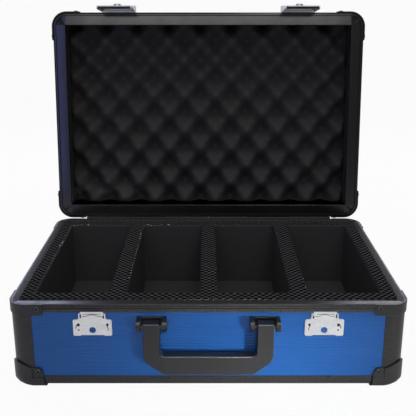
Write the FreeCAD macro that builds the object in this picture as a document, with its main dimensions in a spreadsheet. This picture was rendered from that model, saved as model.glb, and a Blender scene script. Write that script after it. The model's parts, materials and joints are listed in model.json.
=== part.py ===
# Carry case with a dark extruded frame, blue ribbed walls, a foam insert with four wells and
# an egg-crate foam lid, stored with its lid open. Millimetres; X right, Y back, Z up.
import FreeCAD, Part
import math
import os

import Sketcher
from FreeCAD import Placement, Rotation, Vector

# Driving dimensions, in the order in which they stand in the spreadsheet.
SIZES = {
    # whole case
    "case_width": 450.0,
    "case_depth": 300.0,
    "base_height": 101.0,
    "lid_height": 85.0,
    "corner_radius": 20.0,
    "foot_drop": 2.0,
    "rim_gap": 0.4,
    "hinge_offset": 2.0,
    "open_angle": 97.0,
    "origin_back": 53.7,
    # frame extrusions and wall panels
    "flange": 1.0,
    "wall_thickness": 8.5,
    "edge_height": 10.6,
    "post_width": 26.0,
    "post_start": 9.5,
    "rim_height": 10.0,
    "rim_land": 2.0,
    "rim_round": 1.2,
    "base_rim_width": 10.5,
    "lid_rim_width": 18.0,
    "lid_rim_thickness": 7.0,
    "lid_lip": 4.5,
    "lid_bevel_start": 0.8,
    "lid_bevel_depth": 1.6,
    "groove_top": 3.4,
    "groove_height": 1.6,
    "groove_depth": 0.5,
    # pressed corners and rivets
    "cap_thickness": 1.4,
    "cap_leg": 39.0,
    "cap_height": 13.5,
    "ball_thickness": 2.4,
    "ball_leg": 36.3,
    "ball_leg_height": 21.8,
    "ball_height": 29.0,
    "ball_round": 11.0,
    "rivet_radius": 3.4,
    "rivet_crown": 2.2,
    "rivet_height": 1.0,
    "cap_rivet_inset": 33.2,
    "cap_rivet_drop": 4.9,
    "ball_rivet_inset": 29.5,
    "ball_rivet_rise": 17.2,
    # foam
    "well_width": 85.0,
    "well_length": 241.0,
    "divider": 20.0,
    "foam_floor": 2.0,
    "foam_proud": 1.0,
    "foam_fit": 0.2,
    "lining": 4.5,
    "crate_pitch_across": 47.6,
    "crate_pitch_along": 53.4,
    "crate_pit_across": 11.1,
    "crate_pit_along": 111.2,
    "crate_crest": 36.0,
    "crate_pit": 70.0,
    # carrying handle
    "bracket_place": 63.5,
    "bracket_width": 34.0,
    "bracket_bottom": 72.5,
    "bracket_chin": 79.0,
    "bracket_top": 86.0,
    "bracket_foot": 12.5,
    "bracket_plate": 2.0,
    "ear": 5.0,
    "ear_reach": 17.0,
    "arm_width": 18.6,
    "handle_thickness": 13.0,
    "handle_top": 84.0,
    "handle_bottom": 21.4,
    "grip_height": 23.0,
    "grip_bend": 38.7,
    "grip_half": 50.7,
    "grip_outer_bend": 10.0,
    "grip_inner_bend": 6.0,
    "grip_round": 2.5,
    "handle_pin_radius": 2.0,
    "handle_pin_height": 78.5,
    "handle_pin_reach": 10.5,
    "running_gap": 0.05,
    # rear hinges
    "hinge_place": 92.25,
    "hinge_width": 183.0,
    "hinge_middle": 61.0,
    "hinge_leaf": 1.2,
    "hinge_leaf_height": 14.0,
    "knuckle_radius": 1.9,
    "knuckle_gap": 0.3,
    "hinge_pin_radius": 1.1,
    # latches
    "latch_place": 130.5,
    "catch_width": 44.0,
    "catch_bottom": 62.2,
    "catch_shoulder": 82.8,
    "catch_top": 93.1,
    "catch_neck": 30.0,
    "catch_plate": 1.4,
    "catch_lip": 2.6,
    "catch_lip_drop": 3.5,
    "catch_hole_radius": 3.6,
    "catch_hole_height": 69.5,
    "lever_width": 48.0,
    "lever_rise": 27.6,
    "lever_hang": 44.0,
    "lever_outer": 11.6,
    "lever_nose": 5.5,
    "lever_inner": 0.9,
    "lever_skin": 1.4,
    "lever_pin_rise": 23.5,
    "lever_pin_reach": 4.5,
    "latch_pin_radius": 1.5,
    "bracket_cheek": 1.5,
    "bracket_step": 2.6,
    "bracket_step_rise": 0.5,
    "cheek_gap": 0.5,
    "hook_width": 40.0,
    "hook_pin_rise": 10.0,
    "hook_pin_reach": 5.0,
    "hook_pin_radius": 1.2,
    "hook_knuckle": 1.9,
    "hook_outer": 6.0,
    "hook_plate": 1.0,
    "hook_hang": 17.4,
    "hook_toe_hang": 15.0,
    "hook_toe_plate": 1.6,
    "hook_toe_reach": 3.3,
    "barrel_radius": 5.8,
    "barrel_hang": 1.5,
    "barrel_outer": 11.4,
    "barrel_inner": 6.5,
}

doc = FreeCAD.newDocument("carry_case")
sheet = doc.addObject("Spreadsheet::Sheet", "Sizes")
for row, (alias, number) in enumerate(SIZES.items(), 1):
    sheet.set(f"A{row}", alias)
    sheet.set(f"B{row}", str(number))
    sheet.setAlias(f"B{row}", alias)
doc.recompute()


class Size:
    """A length: its value in mm, and the spreadsheet formula that gives it."""

    def __init__(self, value, formula):
        self.value = float(value)
        self.formula = formula

    def __add__(self, other):
        other = as_size(other)
        return Size(self.value + other.value, f"({self.formula} + {other.formula})")

    def __sub__(self, other):
        other = as_size(other)
        return Size(self.value - other.value, f"({self.formula} - {other.formula})")

    def __mul__(self, factor):
        return Size(self.value * factor, f"({self.formula} * {factor})")

    def __truediv__(self, divisor):
        return Size(self.value / divisor, f"({self.formula} / {divisor})")

    def __neg__(self):
        return Size(-self.value, f"(-{self.formula})")


def as_size(number):
    """A plain number as a Size."""
    if isinstance(number, Size):
        return number
    return Size(number, f"({float(number)})")


class Sheet:
    """The spreadsheet's cells, each as a Size under its alias."""

    def __getattr__(self, alias):
        return Size(sheet.get(alias), f"Sizes.{alias}")


s = Sheet()
half_width = s.case_width / 2
half_depth = s.case_depth / 2
zero = as_size(0)
parts = []

# Where the two halves stand. Each half is drawn with its outer face at z = 0 and its rim up.
BASE = Placement(Vector(0, -s.origin_back.value, s.foot_drop.value), Rotation())
hinge_line = Vector(0, (half_depth + s.hinge_offset).value, (s.base_height + s.rim_gap / 2).value)
turned_over = Placement(
    Vector(0, 0, (s.base_height + s.rim_gap + s.lid_height).value),
    Rotation(Vector(1, 0, 0), 180),
)
opened = Placement(
    Vector(), Rotation(Vector(1, 0, 0), -s.open_angle.value), hinge_line
)
LID_SHUT = BASE.multiply(opened)
LID = LID_SHUT.multiply(turned_over)


def bind(thing, name, size):
    """Drive one property of a document object from the spreadsheet."""
    thing.setExpression(name, size.formula)


def box(name, x, y, z):
    """A block between the given low and high sizes on each axis."""
    block = doc.addObject("Part::Box", name)
    for length, (low, high) in zip(("Length", "Width", "Height"), (x, y, z)):
        bind(block, length, as_size(high) - low)
    for axis, (low, high) in zip("xyz", (x, y, z)):
        bind(block, f"Placement.Base.{axis}", as_size(low))
    return block


def rod(name, radius, length, centre, direction):
    """A round bar that starts at a point and runs along a direction."""
    bar = doc.addObject("Part::Cylinder", name)
    bind(bar, "Radius", radius)
    bind(bar, "Height", length)
    bar.Placement = Placement(Vector(*(c.value for c in centre)), Rotation(Vector(0, 0, 1), direction))
    return bar


def combine(kind, name, base, tool):
    """A boolean of two objects: Part::Cut or Part::Common."""
    result = doc.addObject(kind, name)
    result.Base = base
    result.Tool = tool
    return result


def cut(name, base, tool):
    return combine("Part::Cut", name, base, tool)


def common(name, base, tool):
    return combine("Part::Common", name, base, tool)


def fuse(name, *pieces):
    result = doc.addObject("Part::MultiFuse", name)
    result.Shapes = list(pieces)
    return result


def group(name, *pieces):
    """Separate solids kept together under one name."""
    result = doc.addObject("Part::Compound", name)
    result.Links = list(pieces)
    return result


def sub_part(name, place, *pieces):
    """Name a finished piece, or a group of them, and put it where it belongs."""
    piece = group(name + "_group", *pieces)
    piece.Label = name
    piece.Placement = place
    parts.append(piece)
    return piece


def origin_plane(body, role):
    for feature in body.Origin.OriginFeatures:
        if feature.Role == role:
            return feature


def draw_polygon(sketch, points):
    """Closed straight outline, each corner tied to the spreadsheet."""
    count = len(points)
    corners = [Vector(u.value, v.value, 0) for u, v in points]
    for i in range(count):
        sketch.addGeometry(Part.LineSegment(corners[i], corners[(i + 1) % count]))
    for i in range(count):
        sketch.addConstraint(Sketcher.Constraint("Coincident", i, 2, (i + 1) % count, 1))
    for i, corner in enumerate(points):
        for kind, size in zip(("DistanceX", "DistanceY"), corner):
            index = sketch.addConstraint(Sketcher.Constraint(kind, -1, 1, i, 1, size.value))
            bind(sketch, f"Constraints[{index}]", size)


def draw_rounded(sketch, width, depth, radius):
    """Rectangle about the origin with four equal round corners."""
    x = (width / 2).value
    y = (depth / 2).value
    r = radius.value
    lines = [
        ((r - x, -y), (x - r, -y)),
        ((x, r - y), (x, y - r)),
        ((x - r, y), (r - x, y)),
        ((-x, y - r), (-x, r - y)),
    ]
    centres = [(x - r, r - y), (x - r, y - r), (r - x, y - r), (r - x, r - y)]
    for start, end in lines:
        sketch.addGeometry(Part.LineSegment(Vector(*start, 0), Vector(*end, 0)))
    for i, centre in enumerate(centres):
        circle = Part.Circle(Vector(*centre, 0), Vector(0, 0, 1), r)
        first = (i - 1) * math.pi / 2
        sketch.addGeometry(Part.ArcOfCircle(circle, first, first + math.pi / 2))
    for i in range(4):
        sketch.addConstraint(Sketcher.Constraint("Tangent", i, 2, 4 + i, 1))
        sketch.addConstraint(Sketcher.Constraint("Tangent", 4 + i, 2, (i + 1) % 4, 1))
    for i in (5, 6, 7):
        sketch.addConstraint(Sketcher.Constraint("Equal", 4, i))
    size_of = {
        "width": (Sketcher.Constraint("DistanceX", 3, 1, 1, 1, 2 * x), width),
        "depth": (Sketcher.Constraint("DistanceY", 0, 1, 2, 1, 2 * y), depth),
        "radius": (Sketcher.Constraint("Radius", 4, r), radius),
    }
    for constraint, size in size_of.values():
        index = sketch.addConstraint(constraint)
        bind(sketch, f"Constraints[{index}]", size)
    sketch.addConstraint(Sketcher.Constraint("Symmetric", 4, 3, 6, 3, -1, 1))


def padded_body(name, plane, low, high, draw, *sizes):
    """A body with one padded sketch, between two levels along the plane's normal."""
    body = doc.addObject("PartDesign::Body", name)
    sketch = body.newObject("Sketcher::SketchObject", name + "_outline")
    sketch.AttachmentSupport = [(origin_plane(body, plane), "")]
    sketch.MapMode = "FlatFace"
    bind(sketch, "AttachmentOffset.Base.z", low)
    draw(sketch, *sizes)
    pad = body.newObject("PartDesign::Pad", name + "_pad")
    pad.Profile = sketch
    bind(pad, "Length", high - low)
    return body


def rounded_slab(name, width, depth, radius, low, high):
    return padded_body(name, "XY_Plane", as_size(low), as_size(high), draw_rounded, width, depth, radius)


def bar_along_x(name, points, low, high):
    """A bar with an outline of (y, z) points."""
    return padded_body(name, "YZ_Plane", as_size(low), as_size(high), draw_polygon, points)


def plate_from_above(name, points, low, high):
    """A plate with an outline of (x, y) points."""
    return padded_body(name, "XY_Plane", as_size(low), as_size(high), draw_polygon, points)


def mirror_pair(points):
    """An outline that is given on its right half, from bottom to top, and mirrored."""
    return points + [(-u, v) for u, v in reversed(points)]


def round_edges(name, base, radius, chosen):
    """Round the edges of an object that a test picks out."""
    doc.recompute()
    rounded = doc.addObject("Part::Fillet", name)
    rounded.Base = base
    rounded.Edges = [
        (i, radius.value, radius.value) for i, edge in enumerate(base.Shape.Edges, 1) if chosen(edge)
    ]
    return rounded


def level(edge, height):
    """Whether an edge lies in the plane z = height."""
    return abs(edge.BoundBox.ZMin - height) < 1e-6 and abs(edge.BoundBox.ZMax - height) < 1e-6


def upright(edge):
    return edge.BoundBox.ZLength > 1 and edge.BoundBox.XLength < 1e-6 and edge.BoundBox.YLength < 1e-6


def mitre(name, side, low, high):
    """The quarter of the plan, cut by 45 degree lines, in which one rim extrusion lies."""
    across = side in ("left", "right")
    long_half = half_depth if across else half_width
    short_half = half_width if across else half_depth
    reach = short_half / 2
    wedge = doc.addObject("Part::Wedge", name)
    limits = {
        "Xmin": -long_half,
        "Xmax": long_half,
        "X2min": -long_half + reach,
        "X2max": long_half - reach,
        "Ymin": -short_half,
        "Ymax": -short_half + reach,
        "Zmin": low,
        "Z2min": low,
        "Zmax": high,
        "Z2max": high,
    }
    for limit, size in limits.items():
        bind(wedge, limit, as_size(size))
    turns = {"front": 0, "right": 90, "rear": 180, "left": 270}
    wedge.Placement = Placement(Vector(), Rotation(Vector(0, 0, 1), turns[side]))
    return wedge


def corner_boxes(name, leg, low, high):
    """Four blocks, one at each corner of the plan, that reach a leg's length along both sides."""
    outside = 5
    blocks = []
    for side_x in (-1, 1):
        for side_y in (-1, 1):
            x = sorted(((half_width + outside) * side_x, (half_width - leg) * side_x), key=lambda q: q.value)
            y = sorted(((half_depth + outside) * side_y, (half_depth - leg) * side_y), key=lambda q: q.value)
            blocks.append(box(f"{name}_{len(blocks)}", x, y, (low, high)))
    return fuse(name, *blocks)


def plan_cross(name, inset, low, high):
    """Everything that lies inside the walls and clear of the four round corners."""
    corner = s.corner_radius
    x = half_width - corner
    y = half_depth - corner
    points = [
        (x, -half_depth + inset),
        (x, -y),
        (half_width - inset, -y),
        (half_width - inset, y),
        (x, y),
        (x, half_depth - inset),
        (-x, half_depth - inset),
        (-x, y),
        (-half_width + inset, y),
        (-half_width + inset, -y),
        (-x, -y),
        (-x, -half_depth + inset),
    ]
    return plate_from_above(name, points, low, high)


def rim_ring(name, height, width, is_lid):
    """Channel that closes the top of the walls all round, before it is cut at the mitres."""
    low = height - s.rim_height
    outer = rounded_slab(f"{name}_outer", s.case_width, s.case_depth, s.corner_radius, low, height)
    outer = round_edges(f"{name}_soft", outer, s.rim_round, lambda edge: level(edge, height.value))
    hollow = box(
        f"{name}_hollow",
        (-half_width + width, half_width - width),
        (-half_depth + width, half_depth - width),
        (low - 1, height + 1),
    )
    inner = s.flange + s.wall_thickness
    land = s.lid_rim_thickness if is_lid else s.rim_land
    channel = cut(
        f"{name}_channel",
        rounded_slab(
            f"{name}_channel_outer",
            s.case_width - s.flange * 2,
            s.case_depth - s.flange * 2,
            s.corner_radius - s.flange,
            low - 1,
            height - land,
        ),
        box(
            f"{name}_channel_inner",
            (-half_width + inner, half_width - inner),
            (-half_depth + inner, half_depth - inner),
            (low - 2, height),
        ),
    )
    groove_top = height - s.groove_top
    groove = cut(
        f"{name}_groove",
        rounded_slab(
            f"{name}_groove_outer",
            s.case_width + 4,
            s.case_depth + 4,
            s.corner_radius + 2,
            groove_top - s.groove_height,
            groove_top,
        ),
        rounded_slab(
            f"{name}_groove_inner",
            s.case_width - s.groove_depth * 2,
            s.case_depth - s.groove_depth * 2,
            s.corner_radius - s.groove_depth,
            groove_top - s.groove_height - 1,
            groove_top + 1,
        ),
    )
    removed = [hollow, channel, groove]
    if is_lid:
        removed.append(lid_bevel(name, height))
        under = s.lid_rim_thickness
        removed.append(
            box(
                f"{name}_under",
                (-half_width + inner + s.flange, half_width - inner - s.flange),
                (-half_depth + inner + s.flange, half_depth - inner - s.flange),
                (low - 1, height - under),
            )
        )
    return cut(name, outer, fuse(f"{name}_removed", *removed))


def lid_bevel(name, height):
    """The sloping inner face of the lid's rim, as a blunt pyramid to take away."""
    top = height + 1
    bottom = height - s.lid_bevel_depth
    step = s.lid_bevel_depth - s.lid_bevel_start
    rise = (top - bottom).value / step.value
    inner_x = half_width - s.lid_rim_width
    inner_y = half_depth - s.lid_rim_width
    spread = (s.lid_rim_width - s.lid_lip) * rise
    wedge = doc.addObject("Part::Wedge", f"{name}_bevel")
    limits = {
        "Xmin": -inner_x,
        "Xmax": inner_x,
        "Zmin": -inner_y,
        "Zmax": inner_y,
        "X2min": -inner_x - spread,
        "X2max": inner_x + spread,
        "Z2min": -inner_y - spread,
        "Z2max": inner_y + spread,
        "Ymin": bottom,
        "Ymax": top,
    }
    for limit, size in limits.items():
        bind(wedge, limit, as_size(size))
    wedge.Placement = Placement(Vector(), Rotation(Vector(1, 0, 0), 90))
    lip = s.lid_lip
    keep = box(
        f"{name}_bevel_room",
        (-half_width + lip, half_width - lip),
        (-half_depth + lip, half_depth - lip),
        (bottom - 1, top + 1),
    )
    return common(f"{name}_bevel_cut", wedge, keep)


def wall_panels(prefix, height, rim_land, place, names):
    """Four walls between the corner posts, and the cover that closes the half."""
    outer_x = half_width - s.flange
    outer_y = half_depth - s.flange
    inner_x = outer_x - s.wall_thickness
    inner_y = outer_y - s.wall_thickness
    end_x = half_width - s.corner_radius
    end_y = half_depth - s.corner_radius
    cover_top = s.flange + s.wall_thickness
    z = (cover_top, height - rim_land)
    spans = {
        "front": ((-end_x, end_x), (-outer_y, -inner_y)),
        "rear": ((-end_x, end_x), (inner_y, outer_y)),
        "left": ((-outer_x, -inner_x), (-end_y, end_y)),
        "right": ((inner_x, outer_x), (-end_y, end_y)),
    }
    for side, (x, y) in spans.items():
        name = f"{prefix}_{names[side]}_panel"
        sub_part(name, place, box(f"{name}_board", x, y, z))
    cover = f"{prefix}_{names['cover']}_panel"
    sub_part(cover, place, plan_cross(f"{cover}_board", s.flange, s.flange, cover_top))


def edge_bars(prefix, place, names):
    """Angle extrusions along the four outer edges, from corner to corner."""
    corner = s.corner_radius
    for side, half_run, half_span, turn in (
        ("front", half_width, half_depth, 0),
        ("right", half_depth, half_width, 90),
        ("rear", half_width, half_depth, 180),
        ("left", half_depth, half_width, 270),
    ):
        outline = [
            (-half_span, zero),
            (-half_span + corner, zero),
            (-half_span + corner, s.flange),
            (-half_span + s.flange, s.flange),
            (-half_span + s.flange, s.edge_height),
            (-half_span, s.edge_height),
        ]
        name = f"{prefix}_{names[side]}_edge"
        bar = bar_along_x(f"{name}_bar", outline, -half_run + corner, half_run - corner)
        bar.Placement = Placement(Vector(), Rotation(Vector(0, 0, 1), turn))
        sub_part(name, place, bar)


def corner_posts(prefix, height, place):
    """Round upright at each corner, with a thin flange lapped over both walls."""
    name = f"{prefix}_corner_posts"
    low = s.post_start
    high = height - s.rim_height
    column = rounded_slab(f"{name}_column", s.case_width, s.case_depth, s.corner_radius, low, high)
    corners = common(f"{name}_corners", column, corner_boxes(f"{name}_place", s.post_width, low, high))
    inner = s.flange + s.wall_thickness
    core = box(
        f"{name}_core",
        (-half_width + inner, half_width - inner),
        (-half_depth + inner, half_depth - inner),
        (low - 1, high + 1),
    )
    inside = fuse(f"{name}_inside", core, plan_cross(f"{name}_walls", s.flange, low - 1, high + 1))
    sub_part(name, place, cut(f"{name}_posts", corners, inside))


def rim_bars(prefix, height, width, is_lid, place, names):
    """Four mitred rim extrusions."""
    ring = rim_ring(f"{prefix}_rim", height, width, is_lid)
    for side in ("front", "right", "rear", "left"):
        name = f"{prefix}_{names[side]}_rim"
        quarter = mitre(f"{name}_quarter", side, height - s.rim_height - 1, height + 1)
        sub_part(name, place, common(f"{name}_bar", ring, quarter))


def rim_caps(prefix, height, place):
    """Thin pressed cap round each corner of the rim."""
    name = f"{prefix}_rim_corner_caps"
    low = height - s.cap_height
    skin = s.cap_thickness
    outer = rounded_slab(
        f"{name}_outer", s.case_width + skin * 2, s.case_depth + skin * 2, s.corner_radius + skin, low, height
    )
    inner = rounded_slab(
        f"{name}_inner", s.case_width, s.case_depth, s.corner_radius, low - 1, height + 1
    )
    shell = cut(f"{name}_shell", outer, inner)
    sub_part(name, place, common(f"{name}_caps", shell, corner_boxes(f"{name}_place", s.cap_leg, low, height)))


def ball_corners(prefix, place):
    """Pressed corner at each outer corner: a block in the corner with legs lapped over the edges."""
    name = f"{prefix}_ball_corners"
    skin = s.ball_thickness
    low = -s.foot_drop
    tray = rounded_slab(
        f"{name}_tray",
        s.case_width + skin * 2,
        s.case_depth + skin * 2,
        s.corner_radius + skin,
        low,
        s.ball_height,
    )
    tray = round_edges(f"{name}_soft", tray, s.ball_round, lambda edge: level(edge, low.value))
    legs = corner_boxes(f"{name}_legs", s.ball_leg, low - 1, s.ball_leg_height)
    tops = corner_boxes(f"{name}_tops", s.corner_radius + 2, zero, s.ball_height + 1)
    corners = common(f"{name}_corners", tray, fuse(f"{name}_place", legs, tops))
    above = rounded_slab(
        f"{name}_above", s.case_width, s.case_depth, s.corner_radius, s.post_start, s.ball_height + 2
    )
    frame = fuse(f"{name}_frame", above, plan_cross(f"{name}_walls", zero, zero, s.ball_height + 2))
    sub_part(name, place, cut(f"{name}_pressings", corners, frame))


def rivets(prefix, height, place):
    """One domed rivet through each leg of each cap and corner."""
    name = f"{prefix}_rivets"
    heads = []
    rows = (
        (s.cap_rivet_inset, height - s.cap_rivet_drop, s.cap_thickness),
        (s.ball_rivet_inset, s.ball_rivet_rise, s.ball_thickness),
    )
    for inset, rise, skin in rows:
        for side_x in (-1, 1):
            for side_y in (-1, 1):
                on_front = (
                    (half_width - inset) * side_x,
                    (half_depth + skin) * side_y,
                    Vector(0, side_y, 0),
                )
                on_side = (
                    (half_width + skin) * side_x,
                    (half_depth - inset) * side_y,
                    Vector(side_x, 0, 0),
                )
                for x, y, outward in (on_front, on_side):
                    head = doc.addObject("Part::Cone", f"{name}_{len(heads)}")
                    bind(head, "Radius1", s.rivet_radius)
                    bind(head, "Radius2", s.rivet_crown)
                    bind(head, "Height", s.rivet_height)
                    turn = Rotation(Vector(0, 0, 1), outward)
                    head.Placement = Placement(Vector(x.value, y.value, rise.value), turn)
                    heads.append(head)
    sub_part(name, place, *heads)


def case_half(prefix, height, rim_width, is_lid, place, names):
    """Frame, walls and corners of the base or of the lid."""
    land = s.lid_rim_thickness if is_lid else s.rim_land
    wall_panels(prefix, height, land, place, names)
    edge_bars(prefix, place, names)
    corner_posts(prefix, height, place)
    rim_bars(prefix, height, rim_width, is_lid, place, names)
    rim_caps(prefix, height, place)
    ball_corners(prefix, place)
    rivets(prefix, height, place)


def foam_insert():
    """Floor, walls and dividers of the insert, which leave four wells between them."""
    gap = s.foam_fit
    x = half_width - s.base_rim_width - gap
    y = half_depth - s.base_rim_width - gap
    well_x = s.well_width * 2 + s.divider * 1.5
    well_y = s.well_length / 2
    low = s.flange + s.wall_thickness
    floor = low + s.foam_floor
    top = s.base_height + s.foam_proud
    blocks = {
        "foam_floor": ((-x, x), (-y, y), (low, floor)),
        "foam_front_wall": ((-x, x), (-y, -well_y), (floor, top)),
        "foam_rear_wall": ((-x, x), (well_y, y), (floor, top)),
        "foam_left_wall": ((-x, -well_x), (-well_y, well_y), (floor, top)),
        "foam_right_wall": ((well_x, x), (-well_y, well_y), (floor, top)),
    }
    for name, spans in blocks.items():
        sub_part(name, BASE, box(f"{name}_block", *spans))
    pitch = s.well_width + s.divider
    dividers = []
    for step in (-1, 0, 1):
        middle = pitch * step
        span = (middle - s.divider / 2, middle + s.divider / 2)
        dividers.append(box(f"foam_divider_{step + 2}", span, (-well_y, well_y), (floor, top)))
    sub_part("foam_dividers", BASE, *dividers)


def lid_linings():
    """Thin foam on the four inner walls of the lid, under its rim."""
    outer_x = half_width - s.flange - s.wall_thickness - s.flange
    outer_y = half_depth - s.flange - s.wall_thickness - s.flange
    inner_x = outer_x - s.lining
    inner_y = outer_y - s.lining
    z = (s.flange + s.wall_thickness, s.lid_height - s.lid_rim_thickness)
    strips = [
        box("lining_front", (-outer_x, outer_x), (-outer_y, -inner_y), z),
        box("lining_rear", (-outer_x, outer_x), (inner_y, outer_y), z),
        box("lining_left", (-outer_x, -inner_x), (-inner_y, inner_y), z),
        box("lining_right", (inner_x, outer_x), (-inner_y, inner_y), z),
    ]
    sub_part("lid_wall_linings", LID, *strips)
    return inner_x.value - s.foam_fit.value, inner_y.value - s.foam_fit.value


def ring_points(middle_x, middle_y, reach, height):
    """Corners of an upright rectangle in plan, at one height; reach is a share of a crate cell."""
    x = s.crate_pitch_across.value / 4 * reach
    y = s.crate_pitch_along.value / 4 * reach
    return [
        Vector(middle_x + across * x, middle_y + along * y, height)
        for across, along in ((-1, -1), (1, -1), (1, 1), (-1, 1))
    ]


def flat_face(*points):
    return Part.Face(Part.makePolygon([*points, points[0]]))


def crate_cell(middle_x, middle_y, mean, rise):
    """Faces of one crest, or of one pit where rise is negative: steep sides and a blunt point."""
    share_at_ring = 0.62
    foot = ring_points(middle_x, middle_y, 1, mean)
    ring = ring_points(middle_x, middle_y, 0.5, mean + rise * share_at_ring)
    tip = Vector(middle_x, middle_y, mean + rise)
    faces = []
    for i in range(4):
        j = (i + 1) % 4
        faces.append(flat_face(foot[i], foot[j], ring[j], ring[i]))
        faces.append(flat_face(ring[i], ring[j], tip))
    return faces


def cell_middles(pit, pitch, half):
    """Middles of the cells that cover a span of 2 * half; even numbers have a pit's phase."""
    step = pitch / 2
    first = math.floor((-half - pit) / step)
    last = math.ceil((half - pit) / step)
    return [(number, pit + number * step) for number in range(first, last + 1)]


def egg_crate(half_x, half_y):
    """Foam with rows of crests and pits on a flat back, cut to the lid."""
    back = (s.flange + s.wall_thickness).value
    crest = (s.lid_height - s.crate_crest).value
    pit = (s.lid_height - s.crate_pit).value
    mean = (crest + pit) / 2
    columns = cell_middles(s.crate_pit_across.value, s.crate_pitch_across.value, half_x)
    rows = cell_middles(s.crate_pit_along.value, s.crate_pitch_along.value, half_y)
    faces = []
    for across, x in columns:
        for along, y in rows:
            rise = crest - mean if (across + along) % 2 else pit - mean
            faces.extend(crate_cell(x, y, mean, rise))
    edge_x = [x - s.crate_pitch_across.value / 4 for _, x in columns]
    edge_x.append(columns[-1][1] + s.crate_pitch_across.value / 4)
    edge_y = [y - s.crate_pitch_along.value / 4 for _, y in rows]
    edge_y.append(rows[-1][1] + s.crate_pitch_along.value / 4)
    for y in (edge_y[0], edge_y[-1]):
        top = [Vector(x, y, mean) for x in edge_x]
        faces.append(flat_face(*top, Vector(edge_x[-1], y, back), Vector(edge_x[0], y, back)))
    for x in (edge_x[0], edge_x[-1]):
        top = [Vector(x, y, mean) for y in edge_y]
        faces.append(flat_face(*top, Vector(x, edge_y[-1], back), Vector(x, edge_y[0], back)))
    corners = [(edge_x[0], edge_y[0]), (edge_x[-1], edge_y[0]), (edge_x[-1], edge_y[-1]), (edge_x[0], edge_y[-1])]
    faces.append(flat_face(*(Vector(x, y, back) for x, y in corners)))
    shell = Part.makeShell(faces)
    shell.sewShape()
    sheet_of_foam = Part.makeSolid(shell)
    room = Part.makeBox(2 * half_x, 2 * half_y, crest, Vector(-half_x, -half_y, back))
    foam = doc.addObject("Part::Feature", "egg_crate_foam")
    foam.Shape = sheet_of_foam.common(room)
    sub_part("lid_egg_crate_foam", LID, foam)


def handle_brackets():
    """Two brackets with a pair of ears each, and the pins through the ears."""
    face = -half_depth + s.flange
    plate = face - s.bracket_plate
    pin_y = face - s.bracket_plate - s.handle_pin_reach + s.flange
    brackets = []
    pins = []
    for side, sign in (("left", -1), ("right", 1)):
        middle = s.bracket_place * sign
        low = middle - s.bracket_width / 2
        high = middle + s.bracket_width / 2
        ear = [
            (face - s.ear_reach, s.bracket_chin),
            (face - s.bracket_foot, s.bracket_bottom),
            (plate, s.bracket_bottom),
            (plate, s.bracket_top),
            (face - s.ear_reach, s.bracket_top),
        ]
        body = fuse(
            f"handle_bracket_{side}_body",
            box(f"handle_bracket_{side}_plate", (low, high), (plate, face), (s.bracket_bottom, s.bracket_top)),
            bar_along_x(f"handle_bracket_{side}_ear_low", ear, low, low + s.ear),
            bar_along_x(f"handle_bracket_{side}_ear_high", ear, high - s.ear, high),
        )
        soft = round_edges(
            f"handle_bracket_{side}_soft",
            body,
            as_size(0.8),
            lambda edge: edge.BoundBox.XLength > 4 and edge.BoundBox.YMax < (face - s.bracket_foot).value + 0.1,
        )
        start = (low, pin_y, s.handle_pin_height)
        bore = rod(f"handle_bore_{side}", s.handle_pin_radius, s.bracket_width, start, Vector(1, 0, 0))
        brackets.append(cut(f"handle_bracket_{side}", soft, bore))
        pins.append(
            rod(f"handle_pin_{side}", s.handle_pin_radius, s.bracket_width, start, Vector(1, 0, 0))
        )
    sub_part("handle_brackets", BASE, *brackets)
    sub_part("handle_pins", BASE, *pins)
    return pin_y


def handle(pin_y):
    """Moulded handle: two arms and a grip in one piece, hung on the pins."""
    outer = s.bracket_place + s.arm_width / 2
    inner = s.bracket_place - s.arm_width / 2
    grip_top = s.handle_bottom + s.grip_height
    half = s.handle_thickness / 2
    right = [
        (s.grip_half, s.handle_bottom),
        (outer, s.grip_bend),
        (outer, s.handle_top),
        (inner, s.handle_top),
        (inner, grip_top),
    ]
    body = padded_body(
        "handle_body", "XZ_Plane", -pin_y - half, -pin_y + half, draw_polygon, mirror_pair(right)
    )
    bends = round_edges("handle_outer_bends", body, s.grip_outer_bend, outer_bend)
    bends = round_edges("handle_inner_bends", bends, s.grip_inner_bend, inner_bend)
    soft = round_edges("handle_soft", bends, s.grip_round, lambda edge: handle_rim(edge, pin_y, half))
    bores = []
    for side, sign in (("left", -1), ("right", 1)):
        start = (s.bracket_place * sign - s.arm_width, pin_y, s.handle_pin_height)
        radius = s.handle_pin_radius + s.running_gap
        bores.append(rod(f"handle_eye_{side}", radius, s.arm_width * 2, start, Vector(1, 0, 0)))
    sub_part("handle", BASE, cut("handle_bored", soft, fuse("handle_eyes", *bores)))


def crosses_handle(edge):
    """Straight edges from the front face of the handle to its back."""
    return edge.BoundBox.YLength > 1 and edge.BoundBox.XLength < 1e-6 and edge.BoundBox.ZLength < 1e-6


def outer_bend(edge):
    return crosses_handle(edge) and edge.BoundBox.ZMin < (s.grip_bend + 1).value


def inner_bend(edge):
    grip_top = (s.handle_bottom + s.grip_height).value
    return crosses_handle(edge) and abs(edge.BoundBox.ZMin - grip_top) < 1e-6


def handle_rim(edge, pin_y, half):
    """Edges round the front and back faces of the handle."""
    flat = edge.BoundBox.YLength < 1e-6
    return flat and abs(abs(edge.BoundBox.YMin - pin_y.value) - half.value) < 1e-6


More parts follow.
